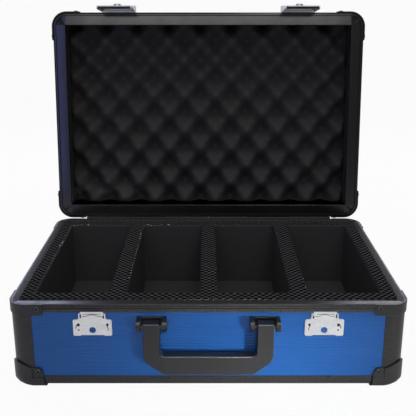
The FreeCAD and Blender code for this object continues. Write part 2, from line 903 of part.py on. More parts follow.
def hinge_leaf(name, middle, is_lid):
    """One leaf on a rear wall with its knuckles, drawn with the lid shut."""
    axis_y = half_depth + s.hinge_offset
    axis_z = s.base_height + s.rim_gap / 2
    back = (half_depth, half_depth + s.hinge_leaf)
    clear = s.knuckle_radius + s.knuckle_gap
    half = s.hinge_width / 2
    inner = s.hinge_middle / 2
    gap = s.knuckle_gap
    if is_lid:
        plate_z = (axis_z + clear, axis_z + clear + s.hinge_leaf_height)
        tab_z = (axis_z, axis_z + clear)
        runs = [(middle - inner, middle + inner)]
    else:
        plate_z = (axis_z - clear - s.hinge_leaf_height, axis_z - clear)
        tab_z = (axis_z - clear, axis_z)
        runs = [
            (middle - half, middle - inner - gap),
            (middle + inner + gap, middle + half),
        ]
    pieces = [box(f"{name}_plate", (middle - half, middle + half), back, plate_z)]
    for i, run in enumerate(runs):
        pieces.append(box(f"{name}_tab_{i}", run, back, tab_z))
        start = (run[0], axis_y, axis_z)
        pieces.append(rod(f"{name}_knuckle_{i}", s.knuckle_radius, run[1] - run[0], start, Vector(1, 0, 0)))
    bore_start = (middle - half - 1, axis_y, axis_z)
    radius = s.hinge_pin_radius + s.running_gap if is_lid else s.hinge_pin_radius
    bore = rod(f"{name}_bore", radius, s.hinge_width + 2, bore_start, Vector(1, 0, 0))
    return cut(f"{name}_leaf", fuse(f"{name}_solid", *pieces), bore)


def rear_hinges():
    """Two long hinges that almost meet in the middle of the rear walls, each with its own pin."""
    axis_y = half_depth + s.hinge_offset
    axis_z = s.base_height + s.rim_gap / 2
    leaves = {"base": [], "lid": []}
    pins = []
    for side, sign in (("left", -1), ("right", 1)):
        middle = s.hinge_place * sign
        for half_name, kept in leaves.items():
            kept.append(hinge_leaf(f"hinge_{half_name}_{side}", middle, half_name == "lid"))
        start = (middle - s.hinge_width / 2, axis_y, axis_z)
        pins.append(rod(f"hinge_pin_{side}", s.hinge_pin_radius, s.hinge_width, start, Vector(1, 0, 0)))
    sub_part("hinge_base_leaves", BASE, *leaves["base"])
    sub_part("hinge_lid_leaves", LID_SHUT, *leaves["lid"])
    sub_part("hinge_pins", BASE, *pins)


def latch_catches():
    """Plate on the base's front wall with a neck and a hooked lip."""
    face = -half_depth + s.flange
    plate = face - s.catch_plate
    neck = plate - s.catch_plate + 0.2
    lip = plate - s.catch_lip
    lip_low = s.catch_top - s.catch_lip_drop
    for side, sign in (("left", -1), ("right", 1)):
        name = f"latch_catch_{side}"
        middle = s.latch_place * sign
        wide = (middle - s.catch_width / 2, middle + s.catch_width / 2)
        narrow = (middle - s.catch_neck / 2, middle + s.catch_neck / 2)
        outline = fuse(
            f"{name}_outline",
            box(f"{name}_plate", wide, (plate, face), (s.catch_bottom, s.catch_shoulder)),
            box(f"{name}_neck", narrow, (neck, plate + 0.2), (s.catch_shoulder - 4, s.catch_top)),
            box(f"{name}_lip", narrow, (lip, neck), (s.catch_top - s.catch_plate, s.catch_top)),
            box(f"{name}_tip", narrow, (lip, lip + s.catch_plate), (lip_low, s.catch_top)),
        )
        start = (middle, face + 1, s.catch_hole_height)
        hole = rod(f"{name}_hole", s.catch_hole_radius, as_size(8), start, Vector(0, -1, 0))
        sub_part(name, BASE, cut(f"{name}_pressing", outline, hole))


def latch_brackets():
    """Bracket on the lid's front wall whose cheeks carry the lever's and the hook's pins."""
    rim = s.base_height + s.rim_gap
    wall = -half_depth + s.flange
    face = -half_depth
    front = face - s.bracket_cheek
    step = face - s.bracket_step
    step_low = rim + s.bracket_step_rise
    lever_pin = (face - s.lever_pin_reach, rim + s.lever_pin_rise)
    hook_pin = (face - s.hook_pin_reach, rim + s.hook_pin_rise)
    cheek_out = s.lever_width / 2 - s.lever_skin - s.cheek_gap
    brackets = []
    lever_pins = []
    hook_pins = []
    for side, sign in (("left", -1), ("right", 1)):
        name = f"latch_bracket_{side}"
        middle = s.latch_place * sign
        span = (middle - cheek_out, middle + cheek_out)
        pieces = [
            box(f"{name}_plate", span, (front, wall), (rim + s.rim_height + 0.2, rim + s.lever_rise)),
            box(f"{name}_foot", span, (step, face), (step_low, rim + s.rim_height + 0.2)),
        ]
        outline = [
            (face - 0.5, step_low),
            (step, step_low),
            (hook_pin[0] - 2.2, rim + s.hook_pin_rise - 4),
            (hook_pin[0] - 2.2, rim + s.hook_pin_rise + 4),
            (lever_pin[0] - 3, rim + s.lever_rise),
            (face - 0.5, rim + s.lever_rise),
        ]
        for i, low in enumerate((span[0], span[1] - s.bracket_cheek)):
            pieces.append(bar_along_x(f"{name}_cheek_{i}", outline, low, low + s.bracket_cheek))
        start_lever = (middle - s.lever_width / 2, *lever_pin)
        start_hook = (middle - cheek_out, *hook_pin)
        along = Vector(1, 0, 0)
        bores = fuse(
            f"{name}_bores",
            rod(f"{name}_lever_bore", s.latch_pin_radius, s.lever_width, start_lever, along),
            rod(f"{name}_hook_bore", s.hook_pin_radius, cheek_out * 2, start_hook, along),
        )
        brackets.append(cut(name, fuse(f"{name}_solid", *pieces), bores))
        lever_pins.append(rod(f"lever_pin_{side}", s.latch_pin_radius, s.lever_width, start_lever, along))
        hook_pins.append(rod(f"hook_pin_{side}", s.hook_pin_radius, cheek_out * 2, start_hook, along))
    sub_part("latch_brackets", LID_SHUT, *brackets)
    sub_part("latch_lever_pins", LID_SHUT, *lever_pins)
    sub_part("latch_hook_pins", LID_SHUT, *hook_pins)
    return lever_pin, hook_pin


def latch_lever(side, sign, lever_pin):
    """Pressed wedge-shaped cover that swings on the bracket and hangs past the rim, with a lock barrel."""
    rim = s.base_height + s.rim_gap
    face = -half_depth
    middle = s.latch_place * sign
    half = s.lever_width / 2
    bottom = rim - s.lever_hang
    top = rim + s.lever_rise
    nose = face - s.lever_nose
    heel = face - s.lever_outer
    ear = lever_pin[0] + 2.5
    ear_low = rim + s.lever_pin_rise - 4
    name = f"latch_lever_{side}"
    cover = [(nose, bottom), (nose + s.lever_skin, bottom), (heel + s.lever_skin, top), (heel, top)]
    flange = [
        (nose + s.lever_skin / 2, bottom),
        (face - s.lever_inner, bottom),
        (face - s.lever_inner, ear_low),
        (ear, ear_low),
        (ear, top),
        (heel + s.lever_skin / 2, top),
    ]
    pieces = [bar_along_x(f"{name}_face", cover, middle - half, middle + half)]
    for i, low in enumerate((middle - half, middle + half - s.lever_skin)):
        pieces.append(bar_along_x(f"{name}_flange_{i}", flange, low, low + s.lever_skin))
    shell = fuse(f"{name}_shell", *pieces)
    slope = (heel.value - nose.value) / (top.value - bottom.value)

    def on_cover(edge):
        """Whether an edge lies in the cover's outer face."""
        return all(
            abs(point.Y - nose.value - slope * (point.Z - bottom.value)) < 1e-4 for point in edge.Vertexes
        )

    soft = round_edges(f"{name}_soft", shell, as_size(1), on_cover)
    centre = (middle, face - s.barrel_outer, rim - s.barrel_hang)
    start = (middle - half - 1, *lever_pin)
    bores = fuse(
        f"{name}_bores",
        rod(f"{name}_pin_bore", s.latch_pin_radius + s.running_gap, s.lever_width + 2, start, Vector(1, 0, 0)),
        rod(f"{name}_lock_bore", s.barrel_radius + s.running_gap, as_size(6), centre, Vector(0, 1, 0)),
    )
    sub_part(name, LID_SHUT, cut(f"{name}_pressing", soft, bores))
    length = s.barrel_outer - s.barrel_inner
    barrel = rod(f"lock_barrel_{side}_body", s.barrel_radius, length, centre, Vector(0, 1, 0))
    keyway = box(
        f"lock_barrel_{side}_keyway",
        (middle - 0.8, middle + 0.8),
        (centre[1] - 1, centre[1] + 1.2),
        (centre[2] - 3.5, centre[2] + 3.5),
    )
    sub_part(f"lock_barrel_{side}", LID_SHUT, cut(f"lock_barrel_{side}_cut", barrel, keyway))


def latch_hook(side, sign, hook_pin):
    """Hook plate that swings on the bracket: its toe goes under the catch's lip."""
    rim = s.base_height + s.rim_gap
    face = -half_depth
    middle = s.latch_place * sign
    half = s.hook_width / 2
    name = f"latch_hook_{side}"
    plate_y = face - s.hook_outer
    back = plate_y + s.hook_plate
    low = rim - s.hook_hang
    toe = rim - s.hook_toe_hang
    profile = [
        (plate_y, low),
        (back, low),
        (back, toe),
        (face - s.hook_toe_reach, toe),
        (face - s.hook_toe_reach, toe + s.hook_toe_plate),
        (back, toe + s.hook_toe_plate),
        (back, hook_pin[1]),
        (plate_y, hook_pin[1]),
    ]
    plate = bar_along_x(f"{name}_plate", profile, middle - half, middle + half)
    start = (middle - half, *hook_pin)
    along = Vector(1, 0, 0)
    knuckle = rod(f"{name}_knuckle", s.hook_knuckle, s.hook_width, start, along)
    bore = rod(f"{name}_bore", s.hook_pin_radius + s.running_gap, s.hook_width, start, along)
    sub_part(name, LID_SHUT, cut(f"{name}_pressing", fuse(f"{name}_solid", plate, knuckle), bore))


SIDES = {side: side for side in ("front", "rear", "left", "right")}
TURNED = {"front": "rear", "rear": "front", "left": "left", "right": "right"}
case_half("base", s.base_height, s.base_rim_width, False, BASE, {**SIDES, "cover": "bottom"})
case_half("lid", s.lid_height, s.lid_rim_width, True, LID, {**TURNED, "cover": "top"})
foam_insert()
egg_crate(*lid_linings())
handle(handle_brackets())
rear_hinges()
latch_catches()
lever_axis, hook_axis = latch_brackets()
for latch_side, latch_sign in (("left", -1), ("right", 1)):
    latch_lever(latch_side, latch_sign, lever_axis)
    latch_hook(latch_side, latch_sign, hook_axis)

doc.recompute()
faults = [item.Label for item in doc.Objects if {"Invalid", "Error"} & set(item.State)]
for part in parts:
    if part.Shape.isNull() or not part.Shape.isValid() or not part.Shape.Solids:
        faults.append(part.Label)
if faults:
    raise RuntimeError(f"failed: {faults}")

os.makedirs("parts", exist_ok=True)
for part in parts:
    part.Shape.exportStep(f"parts/{part.Label}.step")
whole = Part.makeCompound([part.Shape for part in parts]).BoundBox
print(len(parts), "sub-parts,", sum(len(part.Shape.Solids) for part in parts), "solids")
print("box", [round(v, 2) for v in (whole.XMin, whole.YMin, whole.ZMin, whole.XMax, whole.YMax, whole.ZMax)])
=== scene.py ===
import json
import math

import bmesh
import bpy
from mathutils import Matrix, Vector


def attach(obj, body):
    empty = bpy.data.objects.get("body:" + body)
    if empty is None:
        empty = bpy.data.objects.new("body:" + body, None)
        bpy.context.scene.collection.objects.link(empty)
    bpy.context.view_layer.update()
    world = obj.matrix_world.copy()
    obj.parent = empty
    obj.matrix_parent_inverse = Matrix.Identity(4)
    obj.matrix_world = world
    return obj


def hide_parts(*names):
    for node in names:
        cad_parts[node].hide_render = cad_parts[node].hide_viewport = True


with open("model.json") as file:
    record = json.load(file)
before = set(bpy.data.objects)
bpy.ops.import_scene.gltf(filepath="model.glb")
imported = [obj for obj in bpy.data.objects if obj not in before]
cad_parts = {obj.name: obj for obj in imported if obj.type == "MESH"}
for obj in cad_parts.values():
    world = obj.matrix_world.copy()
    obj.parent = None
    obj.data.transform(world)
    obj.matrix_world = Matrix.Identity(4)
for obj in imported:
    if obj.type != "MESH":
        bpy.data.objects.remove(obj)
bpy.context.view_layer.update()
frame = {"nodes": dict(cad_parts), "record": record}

# Sizes of the case in millimetres, with the case shut: X right, Y back, Z up from the frame's foot.
MM = 0.001
HALF_WIDTH = 225.0
HALF_DEPTH = 150.0
BASE_HEIGHT = 101.0
LID_HEIGHT = 85.0
CORNER = 20.0
FLANGE = 1.0
WALL = 8.5
ORIGIN_BACK = 53.7
FOOT_DROP = 2.0
HINGE_Y = 152.0
HINGE_Z = 101.2
OPEN_ANGLE = 97.0
RIM_GAP = 0.4
RIM_HEIGHT = 10.0
LATCH_X = 130.5

# Millimetres of the shut case to the row frame: the base, the lid's fittings, and the lid drawn rim up.
BASE = Matrix.Diagonal((MM, MM, MM, 1)) @ Matrix.Translation((0, -ORIGIN_BACK, FOOT_DROP))
pivot = Matrix.Translation((0, HINGE_Y, HINGE_Z))
LID_SHUT = BASE @ pivot @ Matrix.Rotation(math.radians(-OPEN_ANGLE), 4, "X") @ pivot.inverted()
LID = (
    LID_SHUT
    @ Matrix.Translation((0, 0, BASE_HEIGHT + RIM_GAP + LID_HEIGHT))
    @ Matrix.Rotation(math.pi, 4, "X")
)


# Materials: each has its grain, colour variation and relief from object coordinates in metres.
TINT_RANGE = (0.35, 0.65)
GLOSS_RANGE = (0.3, 0.7)


def grey(level):
    return (level, level, level)


def new_material(name, color, roughness, metallic=0.0):
    """Plain material, with its node tree and its shader."""
    material = bpy.data.materials.new(name)
    material.use_nodes = True
    shader = material.node_tree.nodes["Principled BSDF"]
    shader.inputs["Base Color"].default_value = (*color, 1)
    shader.inputs["Roughness"].default_value = roughness
    shader.inputs["Metallic"].default_value = metallic
    return material, material.node_tree, shader


def noise(tree, grains_per_metre, detail=2.0, stretch=(1, 1, 1)):
    """Noise over the object; stretch below 1 draws the grain out along that axis."""
    place = tree.nodes.new("ShaderNodeTexCoord")
    mapping = tree.nodes.new("ShaderNodeMapping")
    mapping.inputs["Scale"].default_value = stretch
    texture = tree.nodes.new("ShaderNodeTexNoise")
    texture.inputs["Scale"].default_value = grains_per_metre
    texture.inputs["Detail"].default_value = detail
    tree.links.new(place.outputs["Object"], mapping.inputs["Vector"])
    tree.links.new(mapping.outputs["Vector"], texture.inputs["Vector"])
    return texture.outputs["Fac"]


def tint(tree, shader, source, dark, light):
    """Colour that runs from dark to light with a noise."""
    ramp = tree.nodes.new("ShaderNodeValToRGB")
    for stop, position, color in zip(ramp.color_ramp.elements, TINT_RANGE, (dark, light)):
        stop.position = position
        stop.color = (*color, 1)
    tree.links.new(source, ramp.inputs["Fac"])
    tree.links.new(ramp.outputs["Color"], shader.inputs["Base Color"])


def vary_roughness(tree, shader, source, low, high):
    """Roughness that runs from low to high with a noise."""
    spread = tree.nodes.new("ShaderNodeMapRange")
    spread.inputs["From Min"].default_value = GLOSS_RANGE[0]
    spread.inputs["From Max"].default_value = GLOSS_RANGE[1]
    spread.inputs["To Min"].default_value = low
    spread.inputs["To Max"].default_value = high
    tree.links.new(source, spread.inputs["Value"])
    tree.links.new(spread.outputs["Result"], shader.inputs["Roughness"])


def relief(tree, shader, source, strength, depth_mm):
    """Fine unevenness from a noise."""
    bump = tree.nodes.new("ShaderNodeBump")
    bump.inputs["Strength"].default_value = strength
    bump.inputs["Distance"].default_value = depth_mm * MM
    tree.links.new(source, bump.inputs["Height"])
    tree.links.new(bump.outputs["Normal"], shader.inputs["Normal"])


def powder_coat(name, dark, light, rough, sand=0.2):
    """Sandy grey coating between two levels; little sand makes it a smooth paint or plastic."""
    material, tree, shader = new_material(name, grey(dark), rough)
    shader.inputs["IOR"].default_value = 1.5
    grain = noise(tree, grains_per_metre=700, detail=3)
    tint(tree, shader, grain, grey(dark), grey(light))
    vary_roughness(tree, shader, noise(tree, grains_per_metre=45), rough * 0.85, rough * 1.2)
    relief(tree, shader, grain, sand, depth_mm=0.15)
    return material


def blue_panel():
    """Satin blue sheet, a little uneven in colour and gloss, whose shine is drawn out round the case."""
    dark, light = (0.013, 0.098, 0.33), (0.015, 0.104, 0.35)
    material, tree, shader = new_material("blue_panel", light, 0.3, metallic=0.35)
    tint(tree, shader, noise(tree, grains_per_metre=60, stretch=(0.3, 0.3, 1)), dark, light)
    vary_roughness(tree, shader, noise(tree, grains_per_metre=40, detail=3), 0.28, 0.32)
    shader.inputs["Anisotropic"].default_value = 0.8
    shader.inputs["Anisotropic Rotation"].default_value = 0.25
    along = tree.nodes.new("ShaderNodeTangent")
    along.direction_type = "RADIAL"
    along.axis = "Z"
    tree.links.new(along.outputs["Tangent"], shader.inputs["Tangent"])
    return material


def foam(name, dark, light, cells_per_metre, depth, rough=0.95, shine=0.2):
    """Open-cell foam: matt, with pores."""
    material, tree, shader = new_material(name, dark, rough)
    shader.inputs["Specular IOR Level"].default_value = shine
    pores = noise(tree, cells_per_metre, detail=4)
    tint(tree, shader, pores, dark, light)
    relief(tree, shader, pores, 0.3, depth)
    return material


def nickel():
    """Nickel plate with a fine brushing and a few dull patches."""
    dark, light = grey(0.88), (0.95, 0.95, 0.94)
    material, tree, shader = new_material("nickel", light, 0.3, metallic=1.0)
    brushing = noise(tree, grains_per_metre=2500, stretch=(0.05, 1, 1))
    tint(tree, shader, noise(tree, grains_per_metre=120, detail=3), dark, light)
    vary_roughness(tree, shader, brushing, 0.26, 0.38)
    relief(tree, shader, brushing, 0.06, depth_mm=0.05)
    return material


def handle_plastic():
    """Moulded handle with a fine leather-like grain."""
    dark, light = grey(0.012), grey(0.021)
    material, tree, shader = new_material("handle_plastic", light, 0.5)
    grain = noise(tree, grains_per_metre=1300, detail=3)
    tint(tree, shader, grain, dark, light)
    vary_roughness(tree, shader, noise(tree, grains_per_metre=80), 0.34, 0.44)
    relief(tree, shader, grain, 0.25, depth_mm=0.15)
    return material


MATERIALS = {
    "frame": powder_coat("dark_frame", 0.008, 0.028, 0.32, 0.3),
    "wall_panel": blue_panel(),
    "corner_metal": powder_coat("corner_metal", 0.015, 0.023, 0.34),
    "rivet": powder_coat("rivet", 0.055, 0.07, 0.25, 0.05),
    "foam": foam("foam", grey(0.052), grey(0.060), 900, 0.15),
    "lining": foam("lining", grey(0.036), grey(0.044), 1300, 0.1),
    "handle_plastic": handle_plastic(),
    "nickel": nickel(),
}
SMOOTH_FRAME = powder_coat("smooth_frame", 0.008, 0.012, 0.15, 0.02)
RIM_COAT = powder_coat("rim_coat", 0.020, 0.056, 0.36, 0.35)
# Near-black coat that paints shade into grooves, rivet rings and holes, catch slots and the lever's nose.
PAINTED_SHADE = powder_coat("painted_shade", 0.002, 0.004, 0.6, 0.05)
# Lighter plastic: a painted highlight on the edges of the handle and its brackets that face up and
# forward.
PAINTED_HIGHLIGHT_PLASTIC = powder_coat("painted_highlight_plastic", 0.10, 0.16, 0.4, 0.1)
# Near-black foam: painted shade in the honeycomb's cells.
FOAM_PAINTED_PIT_SHADE = foam("foam_painted_pit_shade", (0.006, 0.006, 0.007), (0.010, 0.010, 0.011), 900, 0.1, 0.95, 0.05)
FOAM_SKIN = foam("foam_skin", (0.078, 0.078, 0.080), (0.092, 0.092, 0.095), 900, 0.1, 0.6, 0.4)

# The solids that stay visible have the looks of their slots; the handle's pins look like rivets.
for part in frame["record"]["subparts"]:
    node = frame["nodes"][part["node"]]
    node.data.materials.clear()
    node.data.materials.append(MATERIALS[part["material_slot"]])
frame["nodes"]["handle_pins"].data.materials[0] = MATERIALS["rivet"]


# Drawing tools: outlines are lists of 2-D points that run anticlockwise, in millimetres.
def rounded(corners, radius, steps=5):
    """Outline whose corners are rounded; radius is one number, or one for each corner."""
    outline = []
    for i, corner in enumerate(corners):
        here = Vector(corner)
        r = radius[i] if isinstance(radius, (list, tuple)) else radius
        if r == 0:
            outline.append(here)
            continue
        back = (Vector(corners[i - 1]) - here).normalized()
        ahead = (Vector(corners[(i + 1) % len(corners)]) - here).normalized()
        half = back.angle(ahead) / 2
        centre = here + (back + ahead).normalized() * (r / math.sin(half))
        start = here + back * (r / math.tan(half)) - centre
        end = here + ahead * (r / math.tan(half)) - centre
        first = math.atan2(start.y, start.x)
        turn = math.remainder(math.atan2(end.y, end.x) - first, 2 * math.pi)
        for step in range(steps + 1):
            angle = first + turn * step / steps
            outline.append(centre + r * Vector((math.cos(angle), math.sin(angle))))
    return outline


def mirrored(points):
    """Outline given on its right half from bottom to top, with its mirror image."""
    return points + [(-x, z) for x, z in reversed(points)]


def rectangle(x, y, radius=0.0, steps=5):
    corners = [(x[0], y[0]), (x[1], y[0]), (x[1], y[1]), (x[0], y[1])]
    return rounded(corners, radius, steps)


def circle(middle, radius, steps=24):
    turns = [2 * math.pi * step / steps for step in range(steps)]
    return [Vector((middle[0] + radius * math.cos(a), middle[1] + radius * math.sin(a))) for a in turns]


def offset(outline, distance):
    """The outline moved inwards by a distance."""
    moved = []
    for i, point in enumerate(outline):
        before = (Vector(point) - Vector(outline[i - 1])).normalized()
        after = (Vector(outline[(i + 1) % len(outline)]) - Vector(point)).normalized()
        inward = Vector((-before.y - after.y, before.x + after.x)).normalized()
        stretch = max(0.5, inward.dot(Vector((-before.y, before.x))))
        moved.append(Vector(point) + inward * (distance / stretch))
    return moved


def lifted(axis, u, v, along):
    """The 3-D point with (u, v) in the plane across an axis."""
    return {"x": (along, u, v), "y": (u, along, v), "z": (u, v, along)}[axis]


def skin(bm, rings, material=0):
    """Faces between consecutive closed rings of vertices."""
    for low, high in zip(rings, rings[1:]):
        for i in range(len(low)):
            j = (i + 1) % len(low)
            bm.faces.new((low[i], low[j], high[j], high[i])).material_index = material


def loft(bm, loops):
    """Closed solid through loops with the same number of points."""
    rings = [[bm.verts.new(point) for point in loop] for loop in loops]
    skin(bm, rings)
    bm.faces.new(rings[0])
    bm.faces.new(rings[-1])


SOFT_STEPS = 3


def slab(bm, outline, axis, low, high, soft=0.3, holes=()):
    """Plate with softened edges and holes, between two levels along an axis."""
    levels = []
    for step in range(SOFT_STEPS + 1):
        turn = math.pi / 2 * step / SOFT_STEPS
        levels.append((soft * (1 - math.sin(turn)), low + soft * (1 - math.cos(turn))))
    levels += [(inset, low + high - level) for inset, level in reversed(levels)]
    faces = ([], [])
    for loop, sign in [(outline, 1)] + [(hole, -1) for hole in holes]:
        rings = [
            [bm.verts.new(lifted(axis, *point, level)) for point in offset(loop, inset * sign)]
            for inset, level in levels
        ]
        skin(bm, rings)
        faces[0].append(rings[0])
        faces[1].append(rings[-1])
    for loops in faces:
        edges = [bm.edges.get((ring[i - 1], ring[i])) for ring in loops for i in range(len(ring))]
        bmesh.ops.triangle_fill(bm, use_beauty=True, edges=edges)


def block(bm, x, y, z, soft=0.3):
    """Box with rounded edges."""
    slab(bm, rectangle(x, y, soft, SOFT_STEPS), "z", *z, soft)


def turned(bm, profile, place, direction, steps=24):
    """Round solid with a profile of (radius, distance along the direction); a tip keeps a tiny radius."""
    turn = Vector((0, 0, 1)).rotation_difference(Vector(direction))
    loops = []
    for radius, along in profile:
        ring = circle((0, 0), max(radius, 1e-5), steps)
        loops.append([Vector(place) + turn @ Vector((*point, along)) for point in ring])
    loft(bm, loops)


CREASE = 30.0
WELD = 1e-4


def make_piece(name, bm, place, body, slot, replaced=(), crease=CREASE):
    """Turn a drawn shape into a piece of the row that rides on a body."""
    bmesh.ops.remove_doubles(bm, verts=bm.verts, dist=WELD)
    bmesh.ops.recalc_face_normals(bm, faces=bm.faces)
    mesh = bpy.data.meshes.new(name)
    bm.to_mesh(mesh)
    bm.free()
    mesh.transform(place)
    mesh.shade_smooth()
    mesh.set_sharp_from_angle(angle=math.radians(crease))
    mesh.materials.append(MATERIALS[slot])
    piece = bpy.data.objects.new(name, mesh)
    bpy.context.scene.collection.objects.link(piece)
    evened = piece.modifiers.new("flat_faces", "WEIGHTED_NORMAL")
    evened.keep_sharp = True
    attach(piece, body)
    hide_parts(*replaced)
    return piece


def paint_shade(bm, first):
    """Painted shade: the second material on the faces drawn since a count."""
    bm.faces.ensure_lookup_table()
    for face in bm.faces[first:]:
        face.material_index = 1


def second_material(piece, material, chosen):
    """Give the faces that a test picks another material."""
    piece.data.materials.append(material)
    for face in piece.data.polygons:
        if chosen(face):
            face.material_index = 1


class Half:
    """Base or lid: drawn with its outer face at z = 0 and its rim up."""

    def __init__(self, prefix, height, place, sides, cover):
        self.prefix = prefix
        self.height = height
        self.place = place
        self.sides = sides
        self.cover = cover

    def piece(self, name, bm, slot, nodes, crease=CREASE):
        """Piece of this half; nodes are the solids it replaces, without the half's prefix."""
        replaced = [f"{self.prefix}_{node}" for node in nodes]
        return make_piece(f"{self.prefix}_{name}", bm, self.place, self.prefix, slot, replaced, crease)


TURNS = {"front": 0, "right": 90, "rear": 180, "left": 270}
base = Half("base", BASE_HEIGHT, BASE, {side: side for side in TURNS}, "bottom")
lid = Half("lid", LID_HEIGHT, LID, {**base.sides, "front": "rear", "rear": "front"}, "top")


def half_spans(side):
    """Half the length of a side, and its distance from the middle of the case."""
    if side in ("front", "rear"):
        return HALF_WIDTH, HALF_DEPTH
    return HALF_DEPTH, HALF_WIDTH


def turn_to(bm, side):
    """Turn what was drawn for the front to another side."""
    bmesh.ops.rotate(bm, verts=bm.verts, matrix=Matrix.Rotation(math.radians(TURNS[side]), 3, "Z"))


# Walls
RIB_PITCH = 3.5
RIB_HEIGHT = 0.42
RIB_STEPS = 6
RIB_CREASE = 12
UNDER_LID_RIM = 7.0
UNDER_BASE_RIM = {"front": 2.0, "rear": 2.0, "left": 5.5, "right": 5.5}


def ribs(low, high, face):
    """Outline of a ribbed face: (height above the panel's plane, place across the ribs)."""
    count = round((high - low) / RIB_PITCH)
    points = []
    for step in range(count * RIB_STEPS + 1):
        phase = step % RIB_STEPS / RIB_STEPS
        rise = RIB_HEIGHT * (1 - (2 * phase - 1) ** 2)
        points.append((face + rise, low + (high - low) * step / (count * RIB_STEPS)))
    return points


def panels(half):
    """Four walls and a cover, each ribbed on its outer face."""
    low = FLANGE + WALL
    for side, name in half.sides.items():
        run, span = half_spans(side)
        top = half.height - (UNDER_LID_RIM if half is lid else UNDER_BASE_RIM[side])
        bm = bmesh.new()
        outer = [(-out, z) for out, z in ribs(low, top, span - FLANGE)]
        inner = [(-span + FLANGE + WALL, top), (-span + FLANGE + WALL, low)]
        loft(bm, [[(x, y, z) for y, z in outer + inner] for x in (CORNER - run, run - CORNER)])
        turn_to(bm, side)
        half.piece(f"{name}_ribbed_panel", bm, "wall_panel", [f"{name}_panel"], RIB_CREASE)
    bm = bmesh.new()
    inside = HALF_DEPTH - CORNER
    reach = HALF_WIDTH - FLANGE
    outer = [(y, -out) for out, y in ribs(-inside, inside, -FLANGE)]
    inner = [(inside, low), (-inside, low)]
    loft(bm, [[(x, y, z) for y, z in outer + inner] for x in (-reach, reach)])
    for sign in (-1, 1):
        y = sorted((sign * inside, sign * (HALF_DEPTH - FLANGE)))
        block(bm, (CORNER - HALF_WIDTH, HALF_WIDTH - CORNER), y, (FLANGE, low), 0.1)
    half.piece(f"{half.cover}_ribbed_panel", bm, "wall_panel", [f"{half.cover}_panel"], RIB_CREASE)


# Frame extrusions
EDGE_HEIGHT = 10.6
EDGE_BULGE = 0.15


def edge_bars(half):
    """Angle bars along the outer edges, with a slightly bulged upright face."""
    for side, name in half.sides.items():
        run, span = half_spans(side)
        corners = [
            (-span, 0),
            (-span + CORNER, 0),
            (-span + CORNER, FLANGE),
            (-span + FLANGE, FLANGE),
            (-span + FLANGE, EDGE_HEIGHT),
            (-span, EDGE_HEIGHT),
            (-span - EDGE_BULGE, EDGE_HEIGHT * 0.55),
        ]
        outline = rounded(corners, [1.8, 0.4, 0.4, 0, 0.3, 0.5, 8], 4)
        bm = bmesh.new()
        loft(bm, [[(x, *point) for point in outline] for x in (CORNER - run, run - CORNER)])
        turn_to(bm, side)
        half.piece(f"{name}_edge_bar", bm, "frame", [f"{name}_edge"])


# Sections of the rims: inset from the outer face, and level from the rim's top
LAND = 2.6
BASE_RIM = [
    (0.3, -10.0),
    (0.0, -9.7),
    (0.0, -6.1),
    (0.45, -5.9),
    (0.45, -4.6),
    (0.0, -4.4),
    (0.0, -3.0),
    (0.3, -2.8),
    (0.3, -1.7),
    (0.0, -1.5),
    (0.1, -0.7),
    (0.45, -0.2),
    (1.2, 0.0),
    (LAND, 0.0),
    (9.7, 0.0),
    (10.3, -0.2),
    (10.5, -0.8),
    (10.5, -10.0),
    (9.5, -10.0),
    (9.5, -2.0),
    (1.0, -2.0),
    (1.0, -10.0),
]
# Faces of the base rim's section whose grooves carry painted shade.
PAINTED_SHADE_GROOVES = (3, 7)
LID_RIM = [
    (0.3, -10.0),
    (0.0, -9.7),
    (0.0, -5.3),
    (0.25, -5.0),
    (0.5, -4.9),
    (0.5, -3.5),
    (0.25, -3.4),
    (0.0, -3.1),
    (0.0, -2.4),
    (0.2, -1.4),
    (0.8, -0.5),
    (1.8, 0.0),
    (3.9, 0.0),
    (4.3, -0.25),
    (4.5, -1.0),
    (4.8, -1.4),
    (17.2, -0.8),
    (17.8, -1.1),
    (18.0, -1.8),
    (18.0, -7.0),
    (1.0, -7.0),
    (1.0, -10.0),
]
SIDE_FALL = 0.27
FALL_LIMIT = -3.0
MITRE_DROP = 1.3
MITRE_INSET = 4.0
MITRE_STEPS = 8
MITRE_NOTCH = 0.12


def sloped(inset, level):
    """Level of a side bar's top, which falls from its outer land towards the inside."""
    if level < FALL_LIMIT:
        return level
    return level - SIDE_FALL * max(0.0, inset - LAND)


def plan_stations(run, span, inset, radius):
    """Places along one side of a rounded rectangle, from the middle of one corner to the next."""
    x = run - inset - radius
    y = -(span - inset - radius)
    places = []
    for centre, first in ((-x, 225), (x, 270)):
        for step in range(MITRE_STEPS + 1):
            angle = math.radians(first + 45 * step / MITRE_STEPS)
            places.append((centre + radius * math.cos(angle), y + radius * math.sin(angle)))
    return places


def rim_section(half, side):
    """Section of the rim along one side; the base's left and right bars slope."""
    if half is lid:
        return LID_RIM
    if side in ("front", "rear"):
        return BASE_RIM
    return [(inset, sloped(inset, level)) for inset, level in BASE_RIM]


def rim_column(half, side, width, point, end_point):
    """One point of the section along a side; at the two mitres the end point takes its place."""
    run, span = half_spans(side)
    inset, level = point
    end_inset, end_level = end_point
    places = plan_stations(run, span, inset, CORNER * (1 - inset / width))
    ends = plan_stations(run, span, end_inset, CORNER * (1 - max(end_inset, 0) / width))
    drop = MITRE_DROP * (1 - inset / width) if half is lid and inset > MITRE_INSET else 0.0
    last = len(places) - 1
    column = []
    for i, place in enumerate(places):
        from_mitre = min(1.0, min(i, last - i) / MITRE_STEPS)
        column.append((*place, half.height + level - drop * (1 - from_mitre)))
    for end in (0, -1):
        column[end] = (*ends[end], half.height + end_level - drop)
    return column


